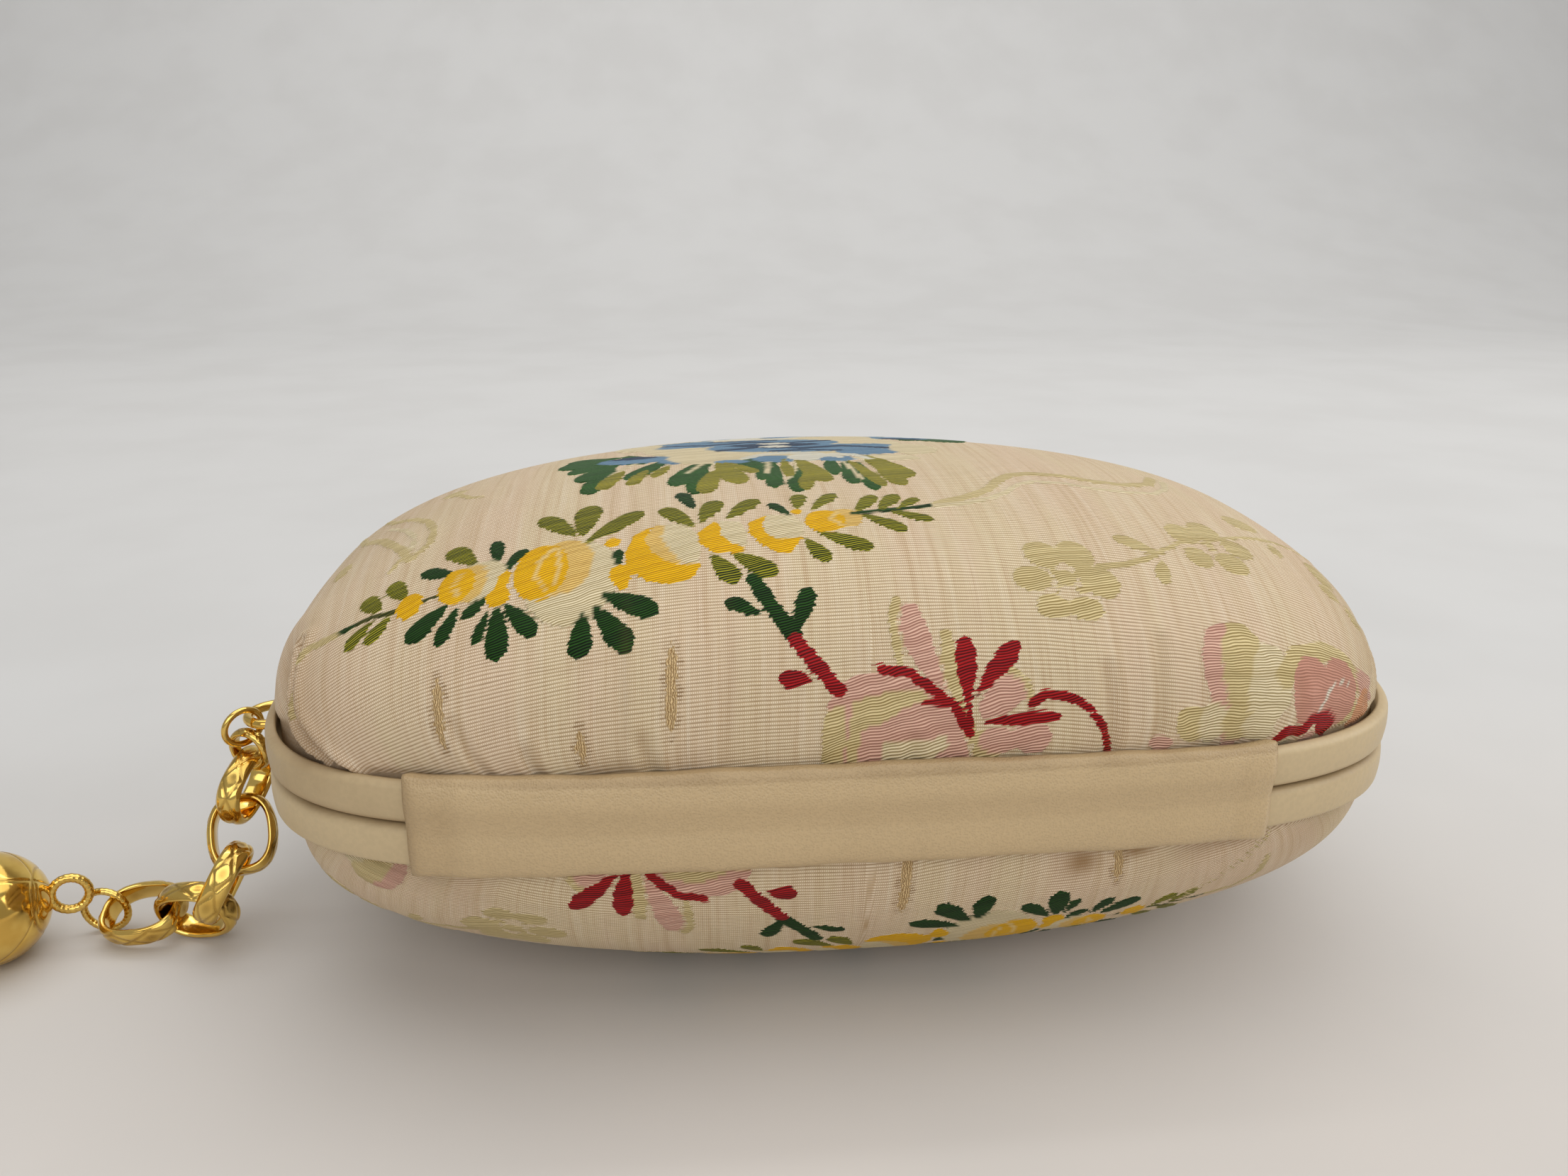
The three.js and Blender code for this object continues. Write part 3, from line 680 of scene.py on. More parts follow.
class Shader:
    """A material and the few calls that its node tree is written with."""

    def __init__(self, name):
        self.material = bpy.data.materials.new("clutch_" + name)
        self.material.use_nodes = True
        self.tree = self.material.node_tree
        self.tree.nodes.clear()

    def node(self, kind, settings=None, sockets=None, output=0):
        """Adds a node, makes its settings, then fills its sockets with values or wires."""
        node = self.tree.nodes.new(kind)
        for name, value in (settings or {}).items():
            setattr(node, name, value)
        for key, value in (sockets or {}).items():
            if isinstance(value, Wire):
                self.tree.links.new(value.socket, node.inputs[key])
            else:
                node.inputs[key].default_value = value
        return Wire(self, node.outputs[output]) if node.outputs else None

    def attribute(self, name, output="Fac"):
        return self.node("ShaderNodeAttribute", {"attribute_name": name}, output=output)

    def mix(self, factor, first, second):
        """Mixes two colours, each a wire or three numbers."""
        settings = {"data_type": "RGBA", "clamp_factor": True}
        first, second = [c if isinstance(c, Wire) else (*c, 1.0) for c in (first, second)]
        return self.node("ShaderNodeMix", settings, {0: factor, 6: first, 7: second}, output=2)

    def separate(self, vector):
        node = self.node("ShaderNodeSeparateXYZ", {}, {0: vector}).socket.node
        return [Wire(self, socket) for socket in node.outputs]

    def combine(self, x, y, z):
        return self.node("ShaderNodeCombineXYZ", {}, {0: x, 1: y, 2: z})

    def place(self):
        """Place on the piece, in millimetres."""
        spot = self.node("ShaderNodeTexCoord", output="Object")
        return self.node("ShaderNodeVectorMath", {"operation": "SCALE"}, {0: spot, "Scale": 1 / MM})

    def noise(self, vector, scale, detail=2.0, roughness=0.5):
        sockets = {"Vector": vector, "Scale": scale, "Detail": detail, "Roughness": roughness}
        return self.node("ShaderNodeTexNoise", {}, sockets)

    def cells(self, vector, scale):
        """Distance from the middles of scattered cells."""
        return self.node("ShaderNodeTexVoronoi", {}, {"Vector": vector, "Scale": scale}, "Distance")

    def finish(self, colour, roughness, height, relief, constants=None):
        """The surface. height is in millimetres; constants are sockets that are the same all over."""
        bump = {"Height": height, "Distance": MM, "Strength": relief}
        normal = self.node("ShaderNodeBump", {}, bump)
        sockets = {"Base Color": colour, "Roughness": roughness, "Normal": normal}
        sockets.update(constants or {})
        surface = self.node("ShaderNodeBsdfPrincipled", {}, sockets)
        self.node("ShaderNodeOutputMaterial", {}, {"Surface": surface})
        return self.material


class Brocade(Shader):
    """Ribbed silk with woven flowers. Its chart, yarns, stains and painted shade come with the mesh."""

    def __init__(self, sizes, colours):
        super().__init__("silk_brocade")
        self.u, self.v, _ = self.separate(self.attribute("chart", "Vector"))
        # Stains, with painted shade in the creases and along the rim, as the mesh gives them
        self.soil_and_shade = self.attribute("stain_and_shade")
        self.thick = self.patches(0.35, 1.4, 0.0, 3.0)
        self.streak = self.patches(0.75, 0.018, 5.0, 4.0, 0.6)
        self.weave_ribs(sizes)
        core, floss, slubbed = self.spin_slubs(self.ground(colours))
        colour, cover, relief = self.lay_flowers(slubbed)
        rib_relief = self.rib * (sizes.rib_height / MM) + self.dash * self.rib * 0.02
        height = (1.0 - cover) * rib_relief + cover * relief
        height = height + core * floss * 0.15 + self.thick * 0.03
        roughness = 0.62 - cover * 0.16 - self.streak * 0.1
        self.finish(colour, roughness, height, 0.9, {"Specular IOR Level": 0.14})

    def patches(self, along, across, layer, detail=2.0, roughness=0.5):
        """Noise on the chart, with so many cells to a millimetre along it and across it."""
        place = self.combine(self.u * along, self.v * across, layer)
        return self.noise(place, 1.0, detail, roughness)

    def weave_ribs(self, sizes):
        """Ribs along the hinge that sway a little, and the short dashes of thread over them."""
        sway = self.patches(0.05, 0.12, 0.0)
        row = (self.v + sway * 1.2) / (sizes.rib_pitch / MM)
        self.rib = row.wave()
        self.dash = (self.u / DASH_LENGTH + row * 0.45 + row.floor() * 0.5).wave()
        self.valley = (1.0 - self.rib) ** 1.6

    def ground(self, colours):
        """Colour of the plain weave: blush bands, tan streaks down the warp, painted shade in the rib
        valleys and between the dashes, painted highlights on the dashes, and stains with painted shade
        in the creases and along the rim.
        """
        fine = self.patches(2.6, 0.05, 3.0, 3.0, 0.65)
        band = self.patches(0.07, 0.01, 9.0, 3.0, 0.55)
        tan = tuple(colours.cloth_tan)
        tone = self.mix(band.ramp(0.38, 0.62), tuple(colours.cloth), tuple(colours.cloth_blush))
        for amount, colour in [
            (self.streak.ramp(0.48, 0.7) * 0.62, tan),
            (self.streak.ramp(0.5, 0.3) * 0.4, srgb("EFE0C6")),
            (fine.ramp(0.52, 0.72) * 0.5, tan),
            # Painted shade in the valleys between ribs and between the dashes on a rib, and painted
            # highlight on the dashes
            (self.valley * (self.thick * 0.5 + 0.32), srgb("6E5436")),
            ((1.0 - self.dash) * self.rib * 0.5, srgb("9C8058")),
            (self.dash * self.rib * 0.55, srgb("FAF2E0")),
            # Stains, with painted shade in the creases, along the rim and down the wall into the rim's
            # seat
            (self.soil_and_shade * 0.7, srgb("8E6D44")),
        ]:
            tone = self.mix(amount, tone, colour)
        return tone

    def spin_slubs(self, ground):
        """Ragged knots of loose thread, with a patchy brown edge where they are tied in."""
        ragged = self.patches(1.7, 1.1, 11.0)
        slub = self.attribute("slub") + (ragged - 0.5) * 1.6
        core = slub.ramp(-0.12, 0.12)
        floss = (self.u / FLOSS_WIDTH + self.thick * 1.5 + ragged * 2.0).wave()
        patchy = self.patches(0.3, 0.5, 7.0).ramp(0.4, 0.62)
        ties = (slub + 0.8).ramp(-0.2, 0.2) * (1.0 - core) * patchy
        tied = ties * (self.valley * 0.8 + (1.0 - self.dash) * 0.2)
        colour = self.mix(tied, ground, srgb("7E6240"))
        # The loose floss is painted darker brown between its strands, as painted shade
        colour = self.mix(core, colour, self.mix(floss ** 0.6, srgb("86643A"), srgb("E2C492")))
        return core, floss, colour

    def lay_flowers(self, ground):
        """Two layers of slanting yarns: colour, how much of the ground they cover, and relief."""
        slant = self.patches(0.12, 0.12, 1.0)
        line = (self.v * 0.974 - self.u * 0.225 + slant * 2.2) / YARN_PITCH
        thread = line.wave()
        strand = self.node("ShaderNodeTexWhiteNoise", {"noise_dimensions": "1D"}, {"W": line.floor()})
        # Painted shade in the gaps between slanting threads, with a random tone per strand; each yarn
        # sets how strong the painted shade is
        dark = ((1.0 - thread) ** 1.3) * 1.3 + (strand - 0.4) * 0.5
        dull = (self.thick.ramp(0.5, 0.75) + strand * 0.6) * 0.22
        ragged = (strand - 0.5) * 0.42 + (thread - 0.5) * 0.16
        colour, cover = ground, None
        for name in ("lower", "upper"):
            part = (self.attribute(name + "_depth") + ragged).ramp(-0.07, 0.07)
            top = self.attribute(name + "_top", "Color")
            shade = self.attribute(name + "_shade", "Color")
            between = (dark * self.attribute(name + "_stripes")).ramp(0.05, 0.95)
            yarn = self.mix(dull, self.mix(between, top, shade), shade)
            # Stains and painted shade darken the yarns too
            yarn = self.mix(self.soil_and_shade * 0.35, yarn, srgb("94734A"))
            colour = self.mix(part, colour, yarn)
            cover = part if cover is None else cover.maths("MAXIMUM", cover, part)
        return colour, cover, (thread ** 0.6) * 0.16 + strand * 0.04


def lining_material(colours):
    """Plain woven lining, with painted shade between its threads."""
    shader = Shader("lining_cloth")
    spot = shader.place()
    x, y, _ = shader.separate(spot)
    turn = 2 * math.pi / LINING_PITCH
    weave = (x * turn).sine() * (y * turn).sine() * 0.5 + 0.5
    cloud = shader.noise(spot, 0.05, 3.0)
    colour = shader.mix(cloud.ramp(0.35, 0.7), tuple(colours.lining), srgb("C4B290"))
    # Painted shade where the weave dips between threads
    colour = shader.mix((1.0 - weave) * 0.25, colour, srgb("9C8867"))
    height = weave * 0.05 + cloud * 0.3
    return shader.finish(colour, 0.7 - cloud * 0.1, height, 0.6, {"Sheen Weight": 0.2})


def leather_material(name, colour, worn_and_shade_colour, grain, relief, gloss):
    """Leather with a fine grain, lighter on the raised grain as painted highlight; a per-point
    attribute of the mesh darkens what hands have rubbed, and paints shade on the rims' lip and seat and
    in the hinge strip's folds.
    """
    shader = Shader(name)
    spot = shader.place()
    cells = shader.cells(spot, grain)
    fine = shader.noise(spot, grain * 1.6, 3.0)
    cloud = shader.noise(spot, 0.06, 4.0, 0.6)
    wear_and_shade = shader.attribute("wear_and_shade")
    shaded = tuple(c * 0.82 for c in colour)
    lit = tuple(min(1.0, c * 1.22) for c in colour)
    base = shader.mix(cloud.ramp(0.3, 0.7) * 0.25, colour, shaded)
    base = shader.mix((fine * cells).ramp(0.1, 0.42) * 0.22, base, lit)
    base = shader.mix((wear_and_shade * (cloud + 0.5)).ramp(0.05, 1.1) * 0.85, base, worn_and_shade_colour)
    height = cells.ramp(0.0, 0.75) * relief + fine * relief * 0.5 + cloud * 0.1
    roughness = gloss + cells * 0.14 + wear_and_shade * 0.1
    return shader.finish(base, roughness, height, 0.8, {"Specular IOR Level": 0.45})


def gold_material(colours):
    """Polished gold plate with browner blotches as painted reflection of darker surroundings, duller
    and browner in the cuts.
    """
    shader = Shader("gold_metal")
    spot = shader.place()
    cut = shader.attribute("cut")
    scuff = shader.noise(spot, 1.4, 4.0, 0.65)
    # Browner blotches: painted reflection of dark brown surroundings
    tone = shader.noise(spot, 0.22, 2.0)
    base = shader.mix(tone.ramp(0.4, 0.7) * 0.5, tuple(colours.gold), srgb("C4943A"))
    base = shader.mix(cut.ramp(0.1, 0.95) * 0.45, base, tuple(colours.gold_deep))
    roughness = 0.1 + scuff.ramp(0.5, 0.8) * 0.12 + cut * 0.18
    return shader.finish(base, roughness, scuff * 0.012, 0.5, {"Metallic": 1.0})


def sweep_material(colours):
    """Matt pale surface, a little cooler towards the back."""
    shader = Shader("pale_sweep")
    spot = shader.place()
    cloud = shader.noise(spot, 0.012, 3.0)
    grain = shader.noise(spot, 0.9, 2.0)
    _, back, _ = shader.separate(spot)
    tone = shader.mix(back.ramp(-150.0, 100.0), tuple(colours.floor), srgb("CCCBC9"))
    colour = shader.mix(cloud.ramp(0.35, 0.7) * 0.25, tone, srgb("BDBBB8"))
    return shader.finish(colour, 0.62 + grain * 0.06, grain * 0.02, 0.3)


def finish_named(name):
    """The clutch's own material of that name; the frame has plain ones under the same names."""
    return bpy.data.materials["clutch_" + name]


def piece_from(name, points, faces, materials, slots=None):
    """A smooth-shaded mesh object from points in metres."""
    mesh = bpy.data.meshes.new(name)
    mesh.from_pydata([tuple(p) for p in points], [], faces)
    mesh.update()
    for material in materials:
        mesh.materials.append(material)
    if slots is not None:
        mesh.polygons.foreach_set("material_index", slots)
    mesh.polygons.foreach_set("use_smooth", np.ones(len(mesh.polygons), bool))
    obj = bpy.data.objects.new(name, mesh)
    bpy.context.scene.collection.objects.link(obj)
    return obj


def give(obj, name, values):
    """Stores one number, vector or colour per point of the mesh."""
    values = np.asarray(values, np.float32)
    width = values.shape[1] if values.ndim > 1 else 1
    kinds = {1: ("FLOAT", "value"), 3: ("FLOAT_VECTOR", "vector"), 4: ("FLOAT_COLOR", "color")}
    kind, field = kinds[width]
    attribute = obj.data.attributes.new(name, kind, "POINT")
    attribute.data.foreach_set(field, values.ravel())


def seat(obj, body, nodes):
    """Ties a finished piece to its body and hides the frame's nodes that it stands for."""
    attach(obj, body)
    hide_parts(*nodes)


def turned_out(obj):
    """Points the faces of a closed mesh outwards."""
    bpy.context.view_layer.objects.active = obj
    for other in bpy.context.selected_objects:
        other.select_set(False)
    obj.select_set(True)
    bpy.ops.object.mode_set(mode="EDIT")
    bpy.ops.mesh.select_all(action="SELECT")
    bpy.ops.mesh.normals_make_consistent(inside=False)
    bpy.ops.object.mode_set(mode="OBJECT")
    obj.select_set(False)


def wrapped_faces(rows, columns, wrap_rows=False, wrap_columns=True, start=0):
    """Quads between neighbouring rows of points."""
    faces = []
    for i in range(rows if wrap_rows else rows - 1):
        here = start + i * columns
        above = start + ((i + 1) % rows) * columns
        for j in range(columns if wrap_columns else columns - 1):
            k = (j + 1) % columns
            faces.append((here + j, here + k, above + k, above + j))
    return faces


def capped_faces(rows, columns):
    """Quads of a closed sweep, with a face over each end."""
    last = (rows - 1) * columns
    ends = [tuple(range(columns)), tuple(reversed(range(last, last + columns)))]
    return wrapped_faces(rows, columns) + ends


def hill(value, middle, half_width):
    """A smooth hill: 1 in the middle, fading to both sides."""
    return np.exp(-((value - middle) / half_width) ** 2)


def circle(count):
    """Angles all round, without the last one, which is the first again."""
    return np.linspace(0, 2 * math.pi, count, endpoint=False)


def side_squareness(angle):
    """How square the plan is on the side that the angle looks to."""
    return np.where(np.sin(angle) < 0, HINGE_SQUARENESS, OPENING_SQUARENESS)


def outline(angle, inset, square_share=1.0):
    """Points of the plan outline in millimetres, inset from the rims' outer face."""
    power = CROWN_SQUARENESS + (side_squareness(angle) - CROWN_SQUARENESS) * square_share
    c, s = np.cos(angle), np.sin(angle)
    reach = (np.abs(c) ** power + np.abs(s) ** power) ** (-1 / power)
    return (HALF_LENGTH - inset) * c * reach, (HALF_DEPTH - inset) * s * reach


def dome_profile(count):
    """Evenly spaced places down a dome, from crown to rim: share of the plan and of the height."""
    turn = np.linspace(0, math.pi / 2, 20001)
    share = np.sin(turn) ** (2 / DOME_FULLNESS)
    height = np.cos(turn) ** (2 / DOME_CROWN)
    steps = np.hypot(np.diff(share) * PROFILE_WIDTH, np.diff(height) * DOME_HEIGHT)
    run = np.concatenate([[0], np.cumsum(steps)])
    even = np.linspace(0, run[-1], count)
    return np.interp(even, run, share), np.interp(even, run, height)


def cloth_run(fixed, half_fixed, half_other, share, squareness):
    """Length along the dome, on the line where one plan coordinate is fixed, from the ridge."""
    low = np.minimum(np.abs(fixed) / half_fixed + 1e-9, share)
    total = np.zeros_like(share)
    last = None
    for step in range(RUN_STEPS + 1):
        part = 0.5 - 0.5 * math.cos(math.pi * step / RUN_STEPS)
        here = low + (share - low) * part
        power = CROWN_SQUARENESS + (squareness - CROWN_SQUARENESS) * here ** SQUARENESS_FADE
        used = (np.abs(fixed) / (half_fixed * np.maximum(here, 1e-9))) ** power
        out = half_other * here * np.maximum(1 - used, 0) ** (1 / power)
        up = DOME_HEIGHT * np.maximum(1 - here ** DOME_FULLNESS, 0) ** (1 / DOME_CROWN)
        if last is not None:
            total += np.hypot(out - last[0], up - last[1])
        last = (out, up)
    return total


def chart_places(angle, share):
    """Each point's place on the cloth: lengths along the hinge and across it, from the crown."""
    flat_x, flat_y = outline(angle, SHELL_INSET, share ** SQUARENESS_FADE)
    squareness = side_squareness(angle)
    length, depth = HALF_LENGTH - SHELL_INSET, HALF_DEPTH - SHELL_INSET
    v = np.sign(flat_y) * cloth_run(flat_x * share, length, depth, share, squareness)
    u = np.sign(flat_x) * cloth_run(flat_y * share, depth, length, share, squareness)
    return u, v


def lower_places(u, v):
    """The lower dome's places on the chart: the cloth runs the other way and is drawn down."""
    drawn = np.interp(v, LOWER_PLACES, LOWER_DRAWN)
    for start, run, extra in LOWER_ENDS:
        drawn += extra * np.clip((u - start) / run, 0, 1)
    return -LOWER_STRETCH * u - LOWER_MOVED, v + drawn


def distance_to_run(u, v, start, end):
    """Distance of each place from a straight run, and how far along the run it is nearest."""
    (ax, ay), (bx, by) = start, end
    dx, dy = bx - ax, by - ay
    t = np.clip(((u - ax) * dx + (v - ay) * dy) / (dx * dx + dy * dy), 0, 1)
    return np.hypot(u - ax - dx * t, v - ay - dy * t), t


def distance_to_route(u, v, route):
    """Distance of each place from a route of straight runs."""
    return np.minimum.reduce([
        distance_to_run(u, v, start, end)[0] for start, end in zip(route, route[1:])
    ])


def inside_patch(u, v, corners):
    """Whether each place is inside a closed outline."""
    odd = np.zeros(u.shape, bool)
    for (ax, ay), (bx, by) in zip(corners, corners[1:] + corners[:1]):
        if ay == by:
            continue
        crosses = (ay > v) != (by > v)
        odd ^= crosses & (u < ax + (v - ay) * (bx - ax) / (by - ay))
    return odd


def depth_in(figure, u, v):
    """How far inside a figure each place of the chart is, in millimetres; below 0 outside."""
    if isinstance(figure, Leaf):
        off, t = distance_to_run(u, v, figure.foot, figure.tip)
        return figure.width * 0.68 * t ** 0.65 * np.sqrt(1 - t ** 3.5) - off
    if isinstance(figure, Oval):
        (mx, my), (hx, hy) = figure.middle, figure.half
        return (1 - np.sqrt(((u - mx) / hx) ** 2 + ((v - my) / hy) ** 2)) * min(hx, hy)
    if isinstance(figure, Stem):
        return figure.width / 2 - distance_to_route(u, v, figure.route)
    off = distance_to_route(u, v, figure.outline + figure.outline[:1])
    return np.where(inside_patch(u, v, figure.outline), off, -off)


def reach_of(figure):
    """A box round a figure, so that only the cloth near it is looked at."""
    if isinstance(figure, Leaf):
        spots, room = [figure.foot, figure.tip], figure.width / 2
    elif isinstance(figure, Oval):
        spots, room = [figure.middle], max(figure.half)
    elif isinstance(figure, Stem):
        spots, room = figure.route, figure.width / 2
    else:
        spots, room = figure.outline, 0
    room += EDGE_ROOM
    xs, ys = zip(*spots)
    return min(xs) - room, max(xs) + room, min(ys) - room, max(ys) + room


class Layer:
    """One layer of flower yarns on the cloth: how deep each point is in it, and its colours."""

    def __init__(self, count):
        self.depth = np.full(count, -EDGE_ROOM)
        self.top = np.full((count, 4), 0.5)
        self.shade = np.full((count, 4), 0.3)
        self.stripes = np.zeros(count)

    def draw(self, near, depth, dye):
        """Draws a figure. Outside every figure, a point takes the colours of the nearest one."""
        wins = (depth > 0) | (depth > self.depth[near])
        hit = near[wins]
        self.top[hit, :3] = dye.top
        self.shade[hit, :3] = dye.shade
        self.stripes[hit] = dye.stripes
        self.depth[near] = np.maximum(self.depth[near], depth)


def weave(u, v, figures):
    """The two layers of flowers, and how deep in a slub each place of the chart is."""
    lower, upper = Layer(len(u)), Layer(len(u))
    middle_u, middle_v = BOUQUET_MIDDLE
    turned = v > middle_v
    u = np.where(turned, 2 * middle_u - u, u)
    v = np.where(turned, 2 * middle_v - v, v)
    for figure in figures:
        x0, x1, y0, y1 = reach_of(figure)
        near = np.nonzero((u > x0) & (u < x1) & (v > y0) & (v < y1))[0]
        dye = YARNS[figure.yarn]
        layer = upper if dye.upper else lower
        layer.draw(near, depth_in(figure, u[near], v[near]), dye)
    slubs = np.full(len(u), NO_SLUB)
    for slub in SLUBS:
        along = np.minimum(slub.top - v, v - slub.bottom)
        beside = 0.8 * np.clip(along / 3, 0, 1) - np.abs(u - slub.middle)
        slubs = np.maximum(slubs, np.minimum(beside, along))
    return lower, upper, slubs


def stained(u, v, stains):
    """How stained each place is."""
    out = np.zeros(len(u))
    for stain_and_shade in stains:
        (mx, my), (hx, hy) = stain_and_shade.middle, stain_and_shade.half
        apart = ((u - mx) / hx) ** 2 + ((v - my) / hy) ** 2
        out = np.maximum(out, stain_and_shade.strength * np.exp(-apart))
    return out


def creased(u, v, relief, darken):
    """Presses the creases into the relief, each with a soft ridge beside it and painted shade in its
    bottom.
    """
    for crease in CREASES:
        off = distance_to_route(u, v, crease.route)
        dent = hill(off, 0, crease.width)
        ridge = hill(off, 2.2 * crease.width, crease.width)
        relief = relief - crease.depth * dent + 0.5 * crease.depth * ridge
        darken = np.maximum(darken, min(0.6, 0.2 + 0.3 * crease.depth) * dent)
    return relief, darken


def square_to_ring(count):
    """A square grid laid over a disc: ring from 0 in the middle to 1 at the rim, and angle."""
    line = np.linspace(-1, 1, count)
    a, b = np.meshgrid(line, line)
    wide = np.abs(a) >= np.abs(b)
    safe_a = np.where(np.abs(a) < 1e-12, 1e-12, a)
    safe_b = np.where(np.abs(b) < 1e-12, 1e-12, b)
    radius = np.where(wide, a, b)
    angle = np.where(wide, math.pi / 4 * b / safe_a, math.pi / 2 - math.pi / 4 * a / safe_b)
    angle = np.where(radius < 0, angle + math.pi, angle)
    return np.abs(radius).ravel(), np.mod(angle, 2 * math.pi).ravel()


def fold_depth(angle, height):
    """How far the gathered cloth draws in, in millimetres."""
    degrees = np.degrees(angle)
    depth = np.zeros_like(angle)
    for fold in FOLDS:
        apart = (degrees - fold.at + 540) % 360 - 180
        depth += fold.depth * WALL * hill(apart, 0, fold.spread) * hill(height, 0, fold.reach)
    return depth


def at_height(x, y, z):
    """Points of one height."""
    return np.stack([x, y, np.full_like(x, z)], 1)


def lifted(points, relief, count):
    """The dome's points moved out along the cloth's own direction by the relief."""
    grid = points.reshape(count, count, 3)
    normal = np.cross(np.gradient(grid, axis=1), np.gradient(grid, axis=0)).reshape(-1, 3)
    normal /= np.maximum(np.linalg.norm(normal, axis=1), 1e-9)[:, None]
    inwards = (normal * (points - [0, 0, SEAM_Z])).sum(1) < 0
    normal *= np.where(inwards, -1.0, 1.0)[:, None]
    return points + normal * relief[:, None]


def lining_points(side, around, spokes):
    """Rings of points: foot of the wall, foot of the lining, the lining's rows, and its crown."""
    base = HALF_GAP + RIM_HEIGHT
    foot = SEAM_Z + side * (base - SEAT_DEPTH + FIT)
    rings = [
        at_height(*outline(around, SHELL_INSET + FIT), foot),
        at_height(*outline(spokes, SHELL_INSET + WALL), foot),
    ]
    shares, heights = dome_profile(LINING_ROWS + 1)
    for share, height in zip(shares[:0:-1], heights[:0:-1]):
        x, y = outline(spokes, SHELL_INSET + WALL, share ** SQUARENESS_FADE)
        z = SEAM_Z + side * (base + (DOME_HEIGHT - WALL) * height)
        rings.append(at_height(x * share, y * share, z))
    rings.append(np.array([[0, 0, SEAM_Z + side * (base + DOME_HEIGHT - WALL)]]))
    return np.concatenate(rings)


def cloth_faces(count):
    """Quads of the cloth's grid, and the grid's edge points in order round the rim."""
    index = np.arange(count * count).reshape(count, count)
    corners = [index[:-1, :-1], index[:-1, 1:], index[1:, 1:], index[1:, :-1]]
    faces = np.stack(corners, -1).reshape(-1, 4)
    edge = np.concatenate([index[0, :-1], index[:-1, -1], index[-1, :0:-1], index[:0:-1, 0]])
    return [tuple(face) for face in faces.tolist()], edge.tolist()


def wall_faces(edge, first_foot):
    """Closes the cloth's edge onto the wall's foot, and that onto the lining's wider spaced foot."""
    n, m = len(edge), len(edge) // LINING_SHARE
    first_inner = first_foot + n
    faces = []
    for j in range(n):
        k = (j + 1) % n
        faces.append((edge[j], edge[k], first_foot + k, first_foot + j))
    for j in range(m):
        low = [first_foot + (LINING_SHARE * j + step) % n for step in range(LINING_SHARE + 1)]
        near, far = first_inner + j, first_inner + (j + 1) % m
        faces += [(low[0], low[1], near), (low[1], low[2], near), (low[2], far, near)]
        faces += [(low[2], low[3], far), (low[3], low[4], far)]
    return faces


def lining_faces(spokes, first):
    """The lining's rows and the fan of faces at its crown."""
    last = first + LINING_ROWS * spokes
    fan = [(last + j, last + (j + 1) % spokes, last + spokes) for j in range(spokes)]
    return wrapped_faces(LINING_ROWS + 1, spokes, start=first) + fan


def with_rest(values, spare, rest):
    """The cloth's values, then the same one for every point of wall and lining."""
    return np.concatenate([values, np.full((spare,) + values.shape[1:], rest)])


def dome_mesh(side, sizes, stains):
    """A whole padded shell, side 1 up or -1 down: brocade outside, lining inside."""
    count = sizes.cloth_rows
    ring, angle = square_to_ring(count)
    places = np.linspace(0, 1, PROFILE_STEPS)
    share, height = [np.interp(ring, places, even) for even in dome_profile(PROFILE_STEPS)]
    up = DOME_HEIGHT * height
    gather = sum(depth * np.sin(number * angle + phase) for number, phase, depth in GATHERS)
    tuck = sizes.tuck / MM * hill(up, 0, TUCK_REACH) + gather * hill(up, 0, GATHER_REACH)
    inset = SHELL_INSET + fold_depth(angle, height) + tuck
    x, y = outline(angle, inset, share ** SQUARENESS_FADE)
    points = np.stack([x * share, y * share, SEAM_Z + side * (HALF_GAP + RIM_HEIGHT + up)], 1)

    u, v = chart_places(angle, share)
    figures = BOUQUET + GARLAND + RIBBONS + FLOWERS
    chart = (u, v)
    if side < 0:
        figures = figures + LOWER_RIBBONS
        chart = lower_places(u, v)
    lower, upper, slubs = weave(*chart, figures)
    deep = np.maximum(lower.depth, upper.depth)
    relief = (sizes.float_height / MM) * np.clip(deep / 0.6 + 0.5, 0, 1)
    darken = stained(u, v, stains)
    if side > 0:
        relief, darken = creased(u, v, relief, darken)
    # Painted shade in the thin crevice all round the rim, where the cloth meets it
    darken = np.maximum(darken, 0.45 * hill(up, 0, 0.8))
    points = lifted(points, relief, count)
    if side < 0:
        points[:, 2] = np.maximum(points[:, 2], FLOOR_CLEARANCE)

    faces, edge = cloth_faces(count)
    around = angle[edge]
    spokes = around[::LINING_SHARE]
    rest = lining_points(side, around, spokes)
    faces += wall_faces(edge, len(points))
    wall = len(faces)
    faces += lining_faces(len(spokes), len(points) + len(edge))
    slots = np.zeros(len(faces), np.int32)
    slots[wall:] = 1
    spare = len(rest)
    values = {
        "chart": np.concatenate([at_height(*chart, 0), rest * [1, 1, 0]]),
        # Stains and painted shade; the wall down into the rim's seat takes painted shade too
        "stain_and_shade": with_rest(darken, spare, 0.5),
        "slub": with_rest(slubs, spare, NO_SLUB),
    }
    for name, layer in [("lower", lower), ("upper", upper)]:
        values[name + "_depth"] = with_rest(layer.depth, spare, -EDGE_ROOM)
        values[name + "_top"] = with_rest(layer.top, spare, 0.5)
        values[name + "_shade"] = with_rest(layer.shade, spare, 0.5)
        values[name + "_stripes"] = with_rest(layer.stripes, spare, 0)
    return np.concatenate([points, rest]) * MM, faces, slots, values


